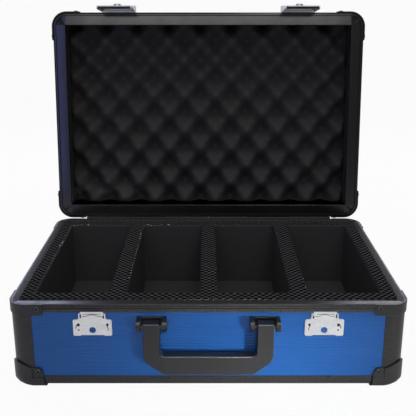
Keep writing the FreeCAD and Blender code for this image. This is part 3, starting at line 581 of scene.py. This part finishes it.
def rim_bars(half):
    """Four mitred extrusions whose outer corners are round and whose inner corners are sharp."""
    for side, name in half.sides.items():
        section = rim_section(half, side)
        width = max(inset for inset, _ in section)
        at_mitre = offset(section, -MITRE_NOTCH)
        columns = [rim_column(half, side, width, *points) for points in zip(section, at_mitre)]
        bm = bmesh.new()
        loft(bm, list(zip(*columns)))
        # The base rim's grooves get painted shade.
        if half is base:
            for i, face in enumerate(bm.faces):
                face.material_index = int(i % len(section) in PAINTED_SHADE_GROOVES)
        turn_to(bm, side)
        bar = half.piece(f"{name}_rim_bar", bm, "frame", [f"{name}_rim"])
        bar.data.materials.append(PAINTED_SHADE)
        bar.data.materials[0] = RIM_COAT if half is base else SMOOTH_FRAME


# Pieces that wrap round the corners
ARC_HALF = CORNER * math.pi / 4
SIGNS = [(x, y) for x in (-1, 1) for y in (-1, 1)]
POST_LEG = 6.0
POST_LIP = 0.5
POST_BACK = -0.95
CAP_SKIN = 1.4
CAP_HEIGHT = 13.5
CAP_REACH = 39.0
CAP_BEND = 2.2
CAP_SOFT = 0.4
BALL_SKIN = 2.4
BALL_TOP = 21.8
BALL_CROWN = 6.0
BALL_REACH = 36.3
BALL_BEND = 6.0
BALL_SOFT = 0.5
BALL_LEAN = 2.2
BALL_FLARE = 2.0
FLARE_HEIGHT = 4.0
LEAN_HEIGHT = 22.0
DOME_END = ARC_HALF + 2.5
LEG_FOOT = 3.0
DOME_FOOT = 6.5
SEAT_SKIN = 1.3
SEAT_LOW = 10.0
SEAT_STEP = 1.2


def at_corner(run, out, z, signs):
    """Point on a corner: run goes along the wall from the corner's middle, out is away from it."""
    if abs(run) <= ARC_HALF:
        turn = math.pi / 4 - run / CORNER
        reach = max(CORNER + out, 0)
        x = HALF_WIDTH - CORNER + reach * math.cos(turn)
        y = HALF_DEPTH - CORNER + reach * math.sin(turn)
    elif run < 0:
        x = HALF_WIDTH - CORNER + run + ARC_HALF
        y = HALF_DEPTH + out
    else:
        x = HALF_WIDTH + out
        y = HALF_DEPTH - CORNER - run + ARC_HALF
    return (x * signs[0], y * signs[1], z)


def wrap(bm, columns):
    """The same bent solid round all four corners: columns of a run and points (out, z, added run)."""
    for signs in SIGNS:
        loops = []
        for run, section in columns:
            loops.append([at_corner(run + point[2], point[0], point[1], signs) for point in section])
        loft(bm, loops)


def arc_runs(end, steps=14):
    return [-end + 2 * end * step / steps for step in range(steps + 1)]


def corner_posts(half):
    """Round posts whose legs end in a small lip."""
    low = FLANGE + WALL
    high = half.height - RIM_HEIGHT
    leg = ARC_HALF + POST_LEG
    left = [(-leg, -POST_LIP), (-leg + POST_LIP, 0.0)]
    right = [(leg - POST_LIP, 0.0), (leg, -POST_LIP)]
    columns = []
    for run, out in left + [(run, 0.0) for run in arc_runs(ARC_HALF)] + right:
        columns.append((run, [(POST_BACK, low, 0), (out, low, 0), (out, high, 0), (POST_BACK, high, 0)]))
    bm = bmesh.new()
    wrap(bm, columns)
    half.piece("round_corner_posts", bm, "frame", ["corner_posts"])


def rim_caps(half):
    """Thin caps round the rim's corners, with a rounded lower corner on each leg."""
    top = half.height
    low = top - CAP_HEIGHT
    leg = ARC_HALF + CAP_REACH - CORNER
    ends = []
    for step in range(5):
        turn = math.pi / 2 * step / 4
        ends.append((leg - CAP_BEND * (1 - math.cos(turn)), low + CAP_BEND * (1 - math.sin(turn))))
    runs = [(-run, z) for run, z in ends] + [(run, low) for run in arc_runs(ARC_HALF)] + ends[::-1]
    columns = []
    for run, bottom in runs:
        section = [
            (0, bottom, 0),
            (CAP_SKIN - CAP_SOFT, bottom, 0),
            (CAP_SKIN, bottom + CAP_SOFT, 0),
            (CAP_SKIN, top - CAP_SOFT, 0),
            (CAP_SKIN - CAP_SOFT, top, 0),
            (0, top, 0),
        ]
        columns.append((run, section))
    bm = bmesh.new()
    wrap(bm, columns)
    half.piece("pressed_rim_caps", bm, "corner_metal", ["rim_corner_caps"])


def ball_section(run, top, upper, slant):
    """Section of a ball corner: its wall, the rounded foot, and the plate under the case."""
    foot = LEG_FOOT + DOME_FOOT * max(0.0, 1 - abs(run) / DOME_END)
    points = [
        (0, top),
        (upper - BALL_SOFT, top),
        (upper, top - BALL_SOFT),
        (upper, SEAT_LOW),
        (BALL_SKIN, SEAT_LOW - SEAT_STEP),
    ]
    for step in range(7):
        turn = math.pi / 2 * step / 6
        out = BALL_SKIN - foot * (1 - math.cos(turn))
        points.append((out, foot - FOOT_DROP - foot * math.sin(turn)))
    inner = -CORNER + BALL_SOFT
    points += [(inner, -FOOT_DROP), (inner, 0), (0, 0)]
    side = math.copysign(1, run)
    section = []
    for out, z in points:
        flare = BALL_FLARE * max(0, 1 - (z + FOOT_DROP) / FLARE_HEIGHT) ** 2
        lean = BALL_LEAN * (1 - z / LEAN_HEIGHT) + flare
        section.append((out, z, side * slant * lean))
    return section


def ball_corners(half):
    """Pressed corner with a rivet seat in each leg, a high middle and a foot that flares."""
    leg = ARC_HALF + BALL_REACH - CORNER - BALL_LEAN
    right = []
    for run in arc_runs(DOME_END, 20):
        if run >= 0:
            rise = BALL_CROWN * math.cos(math.pi / 2 * run / DOME_END) ** 1.3
            right.append((run, BALL_TOP + rise, BALL_SKIN, 0.0))
    right.append((DOME_END + 0.5, BALL_TOP, SEAT_SKIN, 0.0))
    for step in range(7):
        turn = math.pi / 2 * (1 - step / 6)
        run = leg - BALL_BEND * (1 - math.cos(turn))
        right.append((run, BALL_TOP - BALL_BEND * (1 - math.sin(turn)), SEAT_SKIN, step / 6))
    left = [(-run, top, upper, slant) for run, top, upper, slant in right[:0:-1]]
    bm = bmesh.new()
    wrap(bm, [(run, ball_section(run, top, upper, slant)) for run, top, upper, slant in left + right])
    half.piece("pressed_ball_corners", bm, "corner_metal", ["ball_corners"])


# Profile of a rivet: radius, and height over the metal it sits on
RIVET_HEAD = [
    (4.2, 0.0),
    (4.2, 0.15),
    (3.3, 0.12),
    (3.1, 0.55),
    (2.6, 1.0),
    (1.9, 1.3),
    (1.5, 1.3),
    (1.35, 1.1),
    (1.3, 0.1),
    (0.0, 0.1),
]
RIVET_STEPS = 20
# Faces of the profile that carry painted shade: the ring round the head and the hole.
RIVET_PAINTED_SHADE = (0, 1, 6, 7, 8)
RIVET_SINK = 0.05
CAP_RIVET_INSET = 33.2
CAP_RIVET_DROP = 4.9
BALL_RIVET_INSET = 29.5
BALL_RIVET_RISE = 17.0


def rivet(bm, place, direction):
    """Domed tubular rivet, with painted shade in its hole and in the ring round it."""
    first = len(bm.faces)
    turned(bm, RIVET_HEAD, place, direction, RIVET_STEPS)
    bm.faces.ensure_lookup_table()
    for i, face in enumerate(bm.faces[first:]):
        face.material_index = int(i // RIVET_STEPS in RIVET_PAINTED_SHADE)


def rivets(half):
    """A rivet in every leg of the corners."""
    bm = bmesh.new()
    rows = (
        (CAP_RIVET_INSET, half.height - CAP_RIVET_DROP, CAP_SKIN - RIVET_SINK),
        (BALL_RIVET_INSET, BALL_RIVET_RISE, SEAT_SKIN - RIVET_SINK),
    )
    for inset, z, out in rows:
        for sx, sy in SIGNS:
            front = (sx * (HALF_WIDTH - inset), sy * (HALF_DEPTH + out), z)
            side = (sx * (HALF_WIDTH + out), sy * (HALF_DEPTH - inset), z)
            rivet(bm, front, (0, sy, 0))
            rivet(bm, side, (sx, 0, 0))
    heads = half.piece("domed_rivets", bm, "rivet", ["rivets"])
    heads.data.materials.append(PAINTED_SHADE)


for half in (base, lid):
    panels(half)
    edge_bars(half)
    corner_posts(half)
    rim_bars(half)
    rim_caps(half)
    ball_corners(half)
    rivets(half)


# Foam: the tray with its wells and honeycomb top, the lid's egg crate and the lid's linings
FOAM_X = 214.3
FOAM_Y = 139.3
FOAM_TOP = 102.0
COMB_DEPTH = 3.0
COMB_PITCH = 8.2
COMB_ROW = 4.1
COMB_START = (1.0, -0.5)
COMB_SINK = 0.1
COMB_FLOOR_SHARE = 0.58
COMB_LIP = ((0.62, 0.9), (0.7, 0.35))
WELL_FLOOR = 11.5
WELL_HALF_X = 42.5
WELL_HALF_Y = 120.5
WELL_MIDDLES = (-157.5, -52.5, 52.5, 157.5)
FOAM_NODES = (
    "foam_floor",
    "foam_front_wall",
    "foam_rear_wall",
    "foam_left_wall",
    "foam_right_wall",
    "foam_dividers",
)


def foam_tray():
    """Block of foam with the wells cut into it, on a floor."""
    bm = bmesh.new()
    wells = [
        rectangle((middle - WELL_HALF_X, middle + WELL_HALF_X), (-WELL_HALF_Y, WELL_HALF_Y), 2.5)
        for middle in WELL_MIDDLES
    ]
    outer = rectangle((-FOAM_X, FOAM_X), (-FOAM_Y, FOAM_Y), 1.0)
    slab(bm, outer, "z", WELL_FLOOR - 0.5, FOAM_TOP - COMB_DEPTH, 0.8, wells)
    slab(bm, outer, "z", FLANGE + WALL, WELL_FLOOR, 0.3)
    tray = make_piece("foam_tray", bm, BASE, "base", "foam", FOAM_NODES)


def well_under(x, y):
    """Middle of the well that a point is over, or None."""
    if abs(y) >= WELL_HALF_Y:
        return None
    return next((middle for middle in WELL_MIDDLES if abs(x - middle) < WELL_HALF_X), None)


def comb_cells():
    """Middles of the cells, in staggered rows over the foam between its edge and the wells."""
    rows = int(FOAM_Y / COMB_ROW)
    columns = int(FOAM_X / COMB_PITCH) + 1
    for row in range(-rows, rows + 1):
        for column in range(-columns, columns + 1):
            x = COMB_START[0] + (column + row % 2 / 2) * COMB_PITCH
            y = COMB_START[1] + row * COMB_ROW
            if abs(x) < FOAM_X and abs(y) < FOAM_Y and well_under(x, y) is None:
                yield x, y


def kept_on_foam(x, y):
    """The point moved back to the foam's edge where it would lie beyond it."""
    x = max(-FOAM_X, min(FOAM_X, x))
    y = max(-FOAM_Y, min(FOAM_Y, y))
    middle = well_under(x, y)
    if middle is None:
        return x, y
    if WELL_HALF_X - abs(x - middle) < WELL_HALF_Y - abs(y):
        return middle + math.copysign(WELL_HALF_X, x - middle), y
    return x, math.copysign(WELL_HALF_Y, y)


def comb_ring(x, y, share):
    """Eight points round a cell: share 1 is its diamond outline, less than 1 its round hole."""
    ring = []
    for corner in range(8):
        angle = math.radians(45 * corner)
        reach = COMB_ROW * share
        if share == 1 and corner % 2:
            reach = COMB_ROW / math.sqrt(2)
        ring.append(kept_on_foam(x + reach * math.cos(angle), y + reach * math.sin(angle)))
    return ring


def honeycomb():
    """Open cells pressed into the top of the foam, as a wall round every cell, with painted shade inside
    the cells.
    """
    bm = bmesh.new()
    low = FOAM_TOP - COMB_DEPTH - COMB_SINK
    lip = [(share, FOAM_TOP - depth) for share, depth in COMB_LIP]
    rings = [(1, low), (COMB_FLOOR_SHARE, low), *lip, (1, FOAM_TOP)]
    outside = {}
    for x, y in comb_cells():
        loops = [[bm.verts.new((*point, z)) for point in comb_ring(x, y, share)] for share, z in rings]
        # Floors and walls of the cells carry the painted shade.
        skin(bm, loops[:-1], 1)
        skin(bm, loops[-2:])
        for i in range(8):
            wall = (loops[0][i - 1], loops[0][i], loops[-1][i], loops[-1][i - 1])
            middle = (wall[0].co + wall[1].co) / 2
            outside.setdefault((round(middle.x, 2), round(middle.y, 2)), []).append(wall)
    for walls in outside.values():
        if len(walls) == 1:
            bm.faces.new(walls[0])
    comb = make_piece("foam_honeycomb_top", bm, BASE, "base", "foam")
    comb.data.materials[0] = FOAM_SKIN
    comb.data.materials.append(FOAM_PAINTED_PIT_SHADE)


CRATE_X = 209.8
CRATE_Y = 134.8
CRATE_BACK = 9.5
CRATE_MEAN = 32.0
CRATE_RISE = 17.0
CRATE_PITCH = (47.6, 53.4)
CRATE_PIT = (11.1, 111.2)
CRATE_STEP = 2.4
CRATE_CREASE = 60


def crate_height(x, y):
    """Height of the foam's waves at a point."""
    across = 2 * math.pi * (x - CRATE_PIT[0]) / CRATE_PITCH[0]
    along = 2 * math.pi * (y - CRATE_PIT[1]) / CRATE_PITCH[1]
    return CRATE_MEAN - CRATE_RISE * math.cos(across) * math.cos(along)


def egg_crate():
    """Sheet of foam with rows of rounded crests and pits."""
    columns = round(2 * CRATE_X / CRATE_STEP)
    rows = round(2 * CRATE_Y / CRATE_STEP)
    loops = []
    for row in range(rows + 1):
        y = CRATE_Y * (2 * row / rows - 1)
        xs = [CRATE_X * (2 * column / columns - 1) for column in range(columns + 1)]
        loop = [(x, y, crate_height(x, y)) for x in xs]
        loops.append([(-CRATE_X, y, CRATE_BACK)] + loop + [(CRATE_X, y, CRATE_BACK)])
    bm = bmesh.new()
    loft(bm, loops)
    crate = make_piece("egg_crate_sheet", bm, LID, "lid", "foam", ["lid_egg_crate_foam"], CRATE_CREASE)


LINING_OUTER = (214.5, 139.5)
LINING_INNER = (210.0, 135.0)
LINING_SOFT = 1.2


def lid_linings():
    """Smooth strips on the four inner walls of the lid."""
    bm = bmesh.new()
    outer_x, outer_y = LINING_OUTER
    inner_x, inner_y = LINING_INNER
    z = (FLANGE + WALL, LID_HEIGHT - UNDER_LID_RIM)
    for sign in (-1, 1):
        block(bm, (-outer_x, outer_x), sorted((sign * inner_y, sign * outer_y)), z, LINING_SOFT)
        block(bm, sorted((sign * inner_x, sign * outer_x)), (-inner_y, inner_y), z, LINING_SOFT)
    lining = make_piece("lid_lining_strips", bm, LID, "lid", "lining", ["lid_wall_linings"])


foam_tray()
honeycomb()
egg_crate()
lid_linings()


# Carrying handle
HANDLE_Y = -160.5
HANDLE_HALF = 6.5
SLEEVE_HALF = 49.2
SLEEVE_PROUD = 0.3
SLEEVE_HEIGHTS = (21.4, 44.6)
BRACKET_X = 63.5
BRACKET_HALF = 17.0
BRACKET_FACE = -149.0
BRACKET_HEIGHTS = (72.5, 86.0)
EAR = 5.0
EAR_REACH = -166.0


def gets_painted_highlight(face):
    """Whether a face is on a rounded edge that looks up and forward, where the painted highlight goes."""
    return face.normal.y < -0.25 and face.normal.z > 0.5


def handle():
    """Arms and core in one moulding, with a sleeve over the grip."""
    right = [(50.7, 21.6), (72.8, 38.7), (72.8, 84.0), (54.2, 84.0), (54.2, 44.2)]
    bends = [14, 16, 2, 2, 6]
    bm = bmesh.new()
    outline = rounded(mirrored(right), bends + bends[::-1], 8)
    slab(bm, outline, "y", HANDLE_Y - HANDLE_HALF, HANDLE_Y + HANDLE_HALF, 1.4)
    half_y = HANDLE_HALF + SLEEVE_PROUD
    section = rectangle((HANDLE_Y - half_y, HANDLE_Y + half_y), SLEEVE_HEIGHTS, 1.8, 6)
    end = SLEEVE_HALF
    loops = []
    for x, shrink in ((-end, 0.3), (-end + 0.4, 0), (end - 0.4, 0), (end, 0.3)):
        loops.append([(x, *point) for point in offset(section, shrink)])
    loft(bm, loops)
    piece = make_piece("moulded_handle", bm, BASE, "handle", "handle_plastic", ["handle"])
    # Painted highlight on the handle's edges that face up and forward.
    second_material(piece, PAINTED_HIGHLIGHT_PLASTIC, gets_painted_highlight)


def handle_brackets():
    """Back plate with two ears, each with a rounded top and a bevelled foot."""
    face = BRACKET_FACE
    low, high = BRACKET_HEIGHTS
    side = [(EAR_REACH, 79), (-161.5, low), (face, low), (face, high), (EAR_REACH, high)]
    outline = rounded(side, [1.0, 1.0, 0.3, 0.5, 4.0], 4)
    bm = bmesh.new()
    for middle in (-BRACKET_X, BRACKET_X):
        left, right = middle - BRACKET_HALF, middle + BRACKET_HALF
        block(bm, (left, right), (face - 2, face), BRACKET_HEIGHTS, 0.5)
        for start in (left, right - EAR):
            slab(bm, outline, "x", start, start + EAR, 0.7)
    name = "moulded_handle_brackets"
    piece = make_piece(name, bm, BASE, "base", "handle_plastic", ["handle_brackets"])
    # Painted highlight on the brackets' edges that face up and forward.
    second_material(piece, PAINTED_HIGHLIGHT_PLASTIC, gets_painted_highlight)


handle()
handle_brackets()


# Rear hinges
HINGE_MIDDLES = (-92.25, 92.25)
LEAF_HALF = 92.2
LEAF_LOW = 2.2
LEAF_HIGH = 16.2
LEAF_FACES = (150.0, 151.2)
LEAF_RIVETS = range(-75, 76, 25)
LEAF_RIVET_ROW = 9.4
KNUCKLE_RADIUS = 1.9
KNUCKLE_SOFT = 0.3
LID_KNUCKLE_END = 30.5
BASE_KNUCKLE_START = 30.8


def rivet_head(bm, place, direction, radius, height):
    """Low round head."""
    profile = [(radius, 0), (radius * 0.95, height * 0.5), (radius * 0.7, height * 0.9), (0, height)]
    turned(bm, profile, place, direction, 18)


def hinge_leaf(bm, middle, is_lid):
    """Leaf with rounded corners, rolled knuckles and a row of rivets."""
    sign = 1 if is_lid else -1
    half = LEAF_HALF
    if is_lid:
        gap = LID_KNUCKLE_END
        right = [(gap, 0), (gap, LEAF_LOW), (half, LEAF_LOW), (half, LEAF_HIGH)]
        bends = [0, 0.4, 0.4, 2.5]
        knuckles = [(-gap, gap)]
    else:
        gap = BASE_KNUCKLE_START
        right = [(gap, LEAF_LOW), (gap, 0), (half, 0), (half, LEAF_HIGH)]
        bends = [0.4, 0, 0, 2.5]
        knuckles = [(-half, -gap), (gap, half)]
    corners = [(-x, z) for x, z in reversed(right)] + right
    points = [(middle + x, HINGE_Z + sign * z) for x, z in corners]
    outline = rounded(points if is_lid else points[::-1], bends[::-1] + bends, 4)
    slab(bm, outline, "y", *LEAF_FACES, 0.25)
    wide, narrow = KNUCKLE_RADIUS, KNUCKLE_RADIUS - KNUCKLE_SOFT
    for start, end in knuckles:
        run = end - start
        profile = [(narrow, 0), (wide, KNUCKLE_SOFT), (wide, run - KNUCKLE_SOFT), (narrow, run)]
        turned(bm, profile, (middle + start, HINGE_Y, HINGE_Z), (1, 0, 0), 20)
    for x in LEAF_RIVETS:
        place = (middle + x, LEAF_FACES[1], HINGE_Z + sign * LEAF_RIVET_ROW)
        rivet_head(bm, place, (0, 1, 0), 2.4, 0.8)


for body, place, is_lid in (("base", BASE, False), ("lid", LID_SHUT, True)):
    leaves = bmesh.new()
    for middle in HINGE_MIDDLES:
        hinge_leaf(leaves, middle, is_lid)
    make_piece(f"rolled_hinge_{body}_leaves", leaves, place, body, "frame", [f"hinge_{body}_leaves"])


# Latches, drawn about x = 0 and moved to their place
PLATE_FACE = -150.8
PLATE_BACK = -149.1
NECK_FACE = -150.4
NECK_BACK = -149.2
SHADE_SHEET_HALF = 0.1
LEVER_HALF = 24.0
LEVER_SHEET = 1.4
HOOK_HALF = 20.0
HOOK_FACES = (-156.0, -155.0)
HOOK_KNUCKLE_Z = 111.4
LOCK_Z = 99.9
LOCK_RADIUS = 5.8


def latch_piece(name, bm, sign, place, body, node):
    """Nickel piece of the latch on one side."""
    bmesh.ops.translate(bm, verts=bm.verts, vec=(sign * LATCH_X, 0, 0))
    return make_piece(name, bm, place, body, "nickel", [node])


def band(points, width):
    """Outline of a narrow strip that follows a line."""
    left, right = [], []
    for i, point in enumerate(points):
        ahead = Vector(points[min(i + 1, len(points) - 1)]) - Vector(points[max(i - 1, 0)])
        across = Vector((-ahead.y, ahead.x)).normalized() * (width / 2)
        right.append(Vector(point) - across)
        left.append(Vector(point) + across)
    return right + left[::-1]


def painted_shade_slots(bm, sign):
    """Painted shade as thin dark sheets: in the catch's pressed slots and the marks beside them, in the
    gap under its lip and along the line over its arch.
    """
    arch = [(-10.8, 86.3), (-7.0, 86.5), (-2.5, 88.3), (2.5, 88.3), (7.0, 86.5), (10.8, 86.3)]
    rows = [
        (rectangle((-17.3, -14.2), (74.2, 77.9), 1.2, 3), PLATE_FACE),
        (band([(-16.8, 76.4), (-18.2, 74.6), (-18.8, 71.6)], 0.9), PLATE_FACE),
        (circle((-15.7, 69.7), 1.0, 12), PLATE_FACE),
        (rectangle((15.6, 18.2), (74.6, 77.8), 1.0, 3), PLATE_FACE),
        (band([(17.6, 75.6), (16.6, 73.6), (17.8, 71.4), (17.2, 69.2)], 0.8), PLATE_FACE),
        (band([(-10.8, 89.7), (9.4, 89.7)], 1.7), NECK_FACE),
        (rectangle((-14.3, -12.2), (84.4, 88.4), 0.8, 3), PLATE_FACE),
        (rectangle((11.8, 13.8), (84.0, 87.2), 0.8, 3), PLATE_FACE),
        (band(arch, 0.5), NECK_FACE),
    ]
    for outline, face in rows:
        if sign > 0:
            outline = [Vector((-point[0], point[1])) for point in outline][::-1]
        slab(bm, outline, "y", face - SHADE_SHEET_HALF, face + SHADE_SHEET_HALF, 0.04)


def catch(side, sign):
    """Pressed catch plate: front layer with an arched top, and a neck that rolls over into a lip."""
    bm = bmesh.new()
    right = [
        (12.9, 63.1),
        (13.7, 62.2),
        (22.0, 62.2),
        (22.0, 82.8),
        (16.2, 82.8),
        (15.2, 86.0),
        (7.5, 86.0),
        (3.2, 88.0),
    ]
    bends = [0.4, 0.4, 2.0, 2.2, 1.6, 0.8, 3.0, 3.0]
    outline = rounded(mirrored(right), bends + bends[::-1], 4)
    slab(bm, outline, "y", PLATE_FACE, PLATE_BACK, 0.45, [circle((0, 69.5), 3.6)])
    for x in (-10.7, 10.7):
        rivet_head(bm, (x, PLATE_FACE, 74.2), (0, -1, 0), 1.9, 0.45)
    neck = [
        (NECK_FACE, 83.5),
        (NECK_BACK, 83.5),
        (NECK_BACK, 91.2),
        (-151.0, 93.1),
        (-153.0, 93.1),
        (-153.0, 90.6),
        (-152.1, 90.6),
        (-152.1, 92.1),
        (-151.3, 92.1),
        (NECK_FACE, 91.2),
    ]
    neck_bends = [0, 0, 1, 1.2, 0.7, 0.3, 0.3, 0.4, 0.4, 0.4]
    slab(bm, rounded(neck, neck_bends, 4), "x", -13.0, 13.0, 0.35)
    for x in (-14.4, 14.4):
        block(bm, (x - 0.8, x + 0.8), (-151.6, NECK_BACK), (83.0, 90.4), 0.4)
    # The dark sheets drawn after the metal are painted shade.
    metal_faces = len(bm.faces)
    painted_shade_slots(bm, sign)
    paint_shade(bm, metal_faces)
    plate = latch_piece(f"pressed_catch_{side}", bm, sign, BASE, "base", f"latch_catch_{side}")
    plate.data.materials.append(PAINTED_SHADE)


def lever(side, sign):
    """Pressed cover of the latch: a sloping face with two side flanges, and a dark sheet in its nose as
    painted shade.
    """
    bm = bmesh.new()
    bottom, top = 57.4, 129.0
    nose, heel = -155.5, -161.6
    face = rectangle((-LEVER_HALF, LEVER_HALF), (bottom, top), [4, 4, 2, 2])
    slab(bm, face, "y", nose, nose + LEVER_SHEET, 0.6, [circle((0, LOCK_Z), LOCK_RADIUS + 0.05)])
    for vert in bm.verts:
        vert.co.y += (heel - nose) * (vert.co.z - bottom) / (top - bottom)
    flange = [
        (nose + 0.3, bottom + 0.8),
        (-150.9, bottom + 0.8),
        (-150.9, 120.9),
        (-152.0, 121.8),
        (-152.0, top),
        (heel + 0.4, top),
    ]
    outline = rounded(flange, [1, 2.5, 2, 0.6, 2, 1], 4)
    for low in (-LEVER_HALF, LEVER_HALF - LEVER_SHEET):
        slab(bm, outline, "x", low, low + LEVER_SHEET, 0.4)
    metal_faces = len(bm.faces)
    # Dark sheet across the nose: painted shade in the hollow of the lever.
    block(bm, (-22.4, 22.4), (nose + 1.2, -151.3), (bottom + 1.6, bottom + 2.4), 0.1)
    paint_shade(bm, metal_faces)
    body = f"latch_lever_{side}"
    cover = latch_piece(f"pressed_lever_{side}", bm, sign, LID_SHUT, body, body)
    cover.data.materials.append(PAINTED_SHADE)


def hook(side, sign):
    """Hook plate with a rolled knuckle and a toe."""
    bm = bmesh.new()
    face, back = HOOK_FACES
    toe = -153.3
    plate = [
        (face, 84.0),
        (back, 84.0),
        (back, 86.4),
        (toe, 86.4),
        (toe, 88.0),
        (back, 88.0),
        (back, HOOK_KNUCKLE_Z),
        (face, HOOK_KNUCKLE_Z),
    ]
    outline = rounded(plate, [0.4, 0.4, 0.2, 0.5, 0.5, 0.2, 0, 0], 4)
    slab(bm, outline, "x", -HOOK_HALF, HOOK_HALF, 0.3)
    width = 2 * HOOK_HALF
    profile = [(1.25, 0), (1.6, 0), (1.9, 0.3), (1.9, width - 0.3), (1.6, width), (1.25, width)]
    turned(bm, profile, (-HOOK_HALF, back, HOOK_KNUCKLE_Z), (1, 0, 0), 20)
    body = f"latch_hook_{side}"
    latch_piece(f"pressed_hook_{side}", bm, sign, LID_SHUT, body, body)


def lock_barrel(side, sign):
    """Key lock: a ring with a keyway in front of a plug."""
    bm = bmesh.new()
    keyway = rectangle((-0.8, 0.8), (96.4, 103.4), 0.6, 3)
    face, back = -161.4, -160.2
    slab(bm, circle((0, LOCK_Z), LOCK_RADIUS, 32), "y", face, back, 0.5, [keyway])
    turned(bm, [(LOCK_RADIUS, 0), (LOCK_RADIUS, 3.7)], (0, back, LOCK_Z), (0, 1, 0), 32)
    body = f"lock_barrel_{side}"
    latch_piece(f"keyed_barrel_{side}", bm, sign, LID_SHUT, body, body)


for side, sign in (("left", -1), ("right", 1)):
    catch(side, sign)
    lever(side, sign)
    hook(side, sign)
    lock_barrel(side, sign)


# Studio: soft lamps, a pale floor and backdrop, and the camera
def area_light(name, place, target, size, power, color=(1, 1, 1), spread=180.0, mirrored_too=True):
    """Rectangular lamp that is aimed at a point and that the camera doesn't see."""
    data = bpy.data.lights.new(name, "AREA")
    data.shape = "RECTANGLE"
    data.size, data.size_y = size
    data.energy = power
    data.color = color
    data.spread = math.radians(spread)
    lamp = bpy.data.objects.new(name, data)
    lamp.location = place
    lamp.rotation_euler = (Vector(target) - Vector(place)).to_track_quat("-Z", "Y").to_euler()
    lamp.visible_glossy = mirrored_too
    lamp.visible_camera = False
    bpy.context.scene.collection.objects.link(lamp)


area_light("softbox", (0.0, -2.1, 1.08), (0.0, 0.14, 0.39), (1.3, 0.42), 4.5)
area_light("key", (1.0, -1.4, 0.13), (0.055, -0.2, 0.03), (0.16, 0.03), 0.14, spread=9)
area_light("front", (0.3, -1.7, 1.45), (0.05, -0.1, 0.1), (0.3, 0.3), 2.5)
area_light("top", (0, -0.4, 2.0), (0, 0, 0.1), (3.2, 1.3), 16, mirrored_too=False)
area_light("front_left", (-0.98, -2.0, 0.6), (-0.2, 0.15, 0.25), (0.45, 1.1), 3.0, (0.3, 0.34, 1.0))
area_light("back_left", (-0.62, 1.0, 0.72), (0, 0, 0.1), (0.45, 0.5), 3.4, (0.68, 0.71, 1.0))
area_light("back_right", (0.62, 1.0, 0.72), (0, 0, 0.1), (0.45, 0.5), 2.6, (0.87, 0.88, 1.0))


def shown_share(tree, camera_share, mirrored_share, rest):
    """Share of white for rays from the camera, for mirrored rays and for the rest."""
    path = tree.nodes.new("ShaderNodeLightPath")
    mirrored = tree.nodes.new("ShaderNodeMath")
    mirrored.operation = "MULTIPLY_ADD"
    mirrored.inputs[1].default_value = mirrored_share
    mirrored.inputs[2].default_value = rest
    tree.links.new(path.outputs["Is Glossy Ray"], mirrored.inputs[0])
    share = tree.nodes.new("ShaderNodeMath")
    share.operation = "MULTIPLY_ADD"
    share.inputs[1].default_value = camera_share
    tree.links.new(path.outputs["Is Camera Ray"], share.inputs[0])
    tree.links.new(mirrored.outputs[0], share.inputs[2])
    return share.outputs[0]


def white_world():
    """Weak white light from all round, white to the camera."""
    world = bpy.data.worlds.new("studio")
    world.use_nodes = True
    background = world.node_tree.nodes["Background"]
    background.inputs["Color"].default_value = (1, 1, 1, 1)
    strength = shown_share(world.node_tree, 0.87, 0.1, 0.1)
    world.node_tree.links.new(strength, background.inputs["Strength"])
    bpy.context.scene.world = world


FLOOR_HALF = 6.0
FLOOR_BACK = 1.6
BACKDROP_BEND = 0.6
BACKDROP_TOP = 3.5
BEND_STEPS = 8


def floor_and_backdrop():
    """One pale sheet, curved up behind: white to the camera, dim in reflections, with a faint shadow."""
    bm = bmesh.new()
    profile = [(-FLOOR_HALF, 0.0), (FLOOR_BACK, 0.0)]
    for step in range(1, BEND_STEPS + 1):
        turn = math.pi / 2 * step / BEND_STEPS
        y = FLOOR_BACK + BACKDROP_BEND * math.sin(turn)
        profile.append((y, BACKDROP_BEND * (1 - math.cos(turn))))
    profile.append((FLOOR_BACK + BACKDROP_BEND, BACKDROP_TOP))
    rows = [[bm.verts.new((x, y, z)) for x in (-FLOOR_HALF, FLOOR_HALF)] for y, z in profile]
    for low, high in zip(rows, rows[1:]):
        bm.faces.new((low[0], low[1], high[1], high[0]))
    mesh = bpy.data.meshes.new("backdrop")
    bm.to_mesh(mesh)
    bm.free()
    mesh.shade_smooth()
    backdrop = bpy.data.objects.new("backdrop", mesh)
    bpy.context.scene.collection.objects.link(backdrop)
    material, tree, shader = new_material("backdrop", grey(0.85), 0.9)
    output = tree.nodes["Material Output"]
    share = shown_share(tree, 0.95, 0.25, 0.0)
    glow = tree.nodes.new("ShaderNodeEmission")
    mix = tree.nodes.new("ShaderNodeMixShader")
    tree.links.new(share, mix.inputs[0])
    tree.links.new(shader.outputs[0], mix.inputs[1])
    tree.links.new(glow.outputs[0], mix.inputs[2])
    tree.links.new(mix.outputs[0], output.inputs["Surface"])
    mesh.materials.append(material)


white_world()
floor_and_backdrop()

# Camera, fitted to the photograph's edges
IMAGE_SIDE = 416
FOCAL_PIXELS = 712.72
PITCH_DOWN = 17.76
PRINCIPAL_U = 208.4
SENSOR = 36
CAMERA_PLACE = (0, -873.70, 445.58)
camera_data = bpy.data.cameras.new("camera")
camera_data.sensor_width = SENSOR
camera_data.lens = FOCAL_PIXELS / IMAGE_SIDE * SENSOR
camera_data.shift_x = (IMAGE_SIDE / 2 - PRINCIPAL_U) / IMAGE_SIDE
camera = bpy.data.objects.new("camera", camera_data)
camera.location = BASE @ Vector(CAMERA_PLACE)
camera.rotation_euler = (math.radians(90 - PITCH_DOWN), 0, 0)
bpy.context.scene.collection.objects.link(camera)
bpy.context.scene.camera = camera
bpy.context.scene.view_settings.view_transform = "Standard"
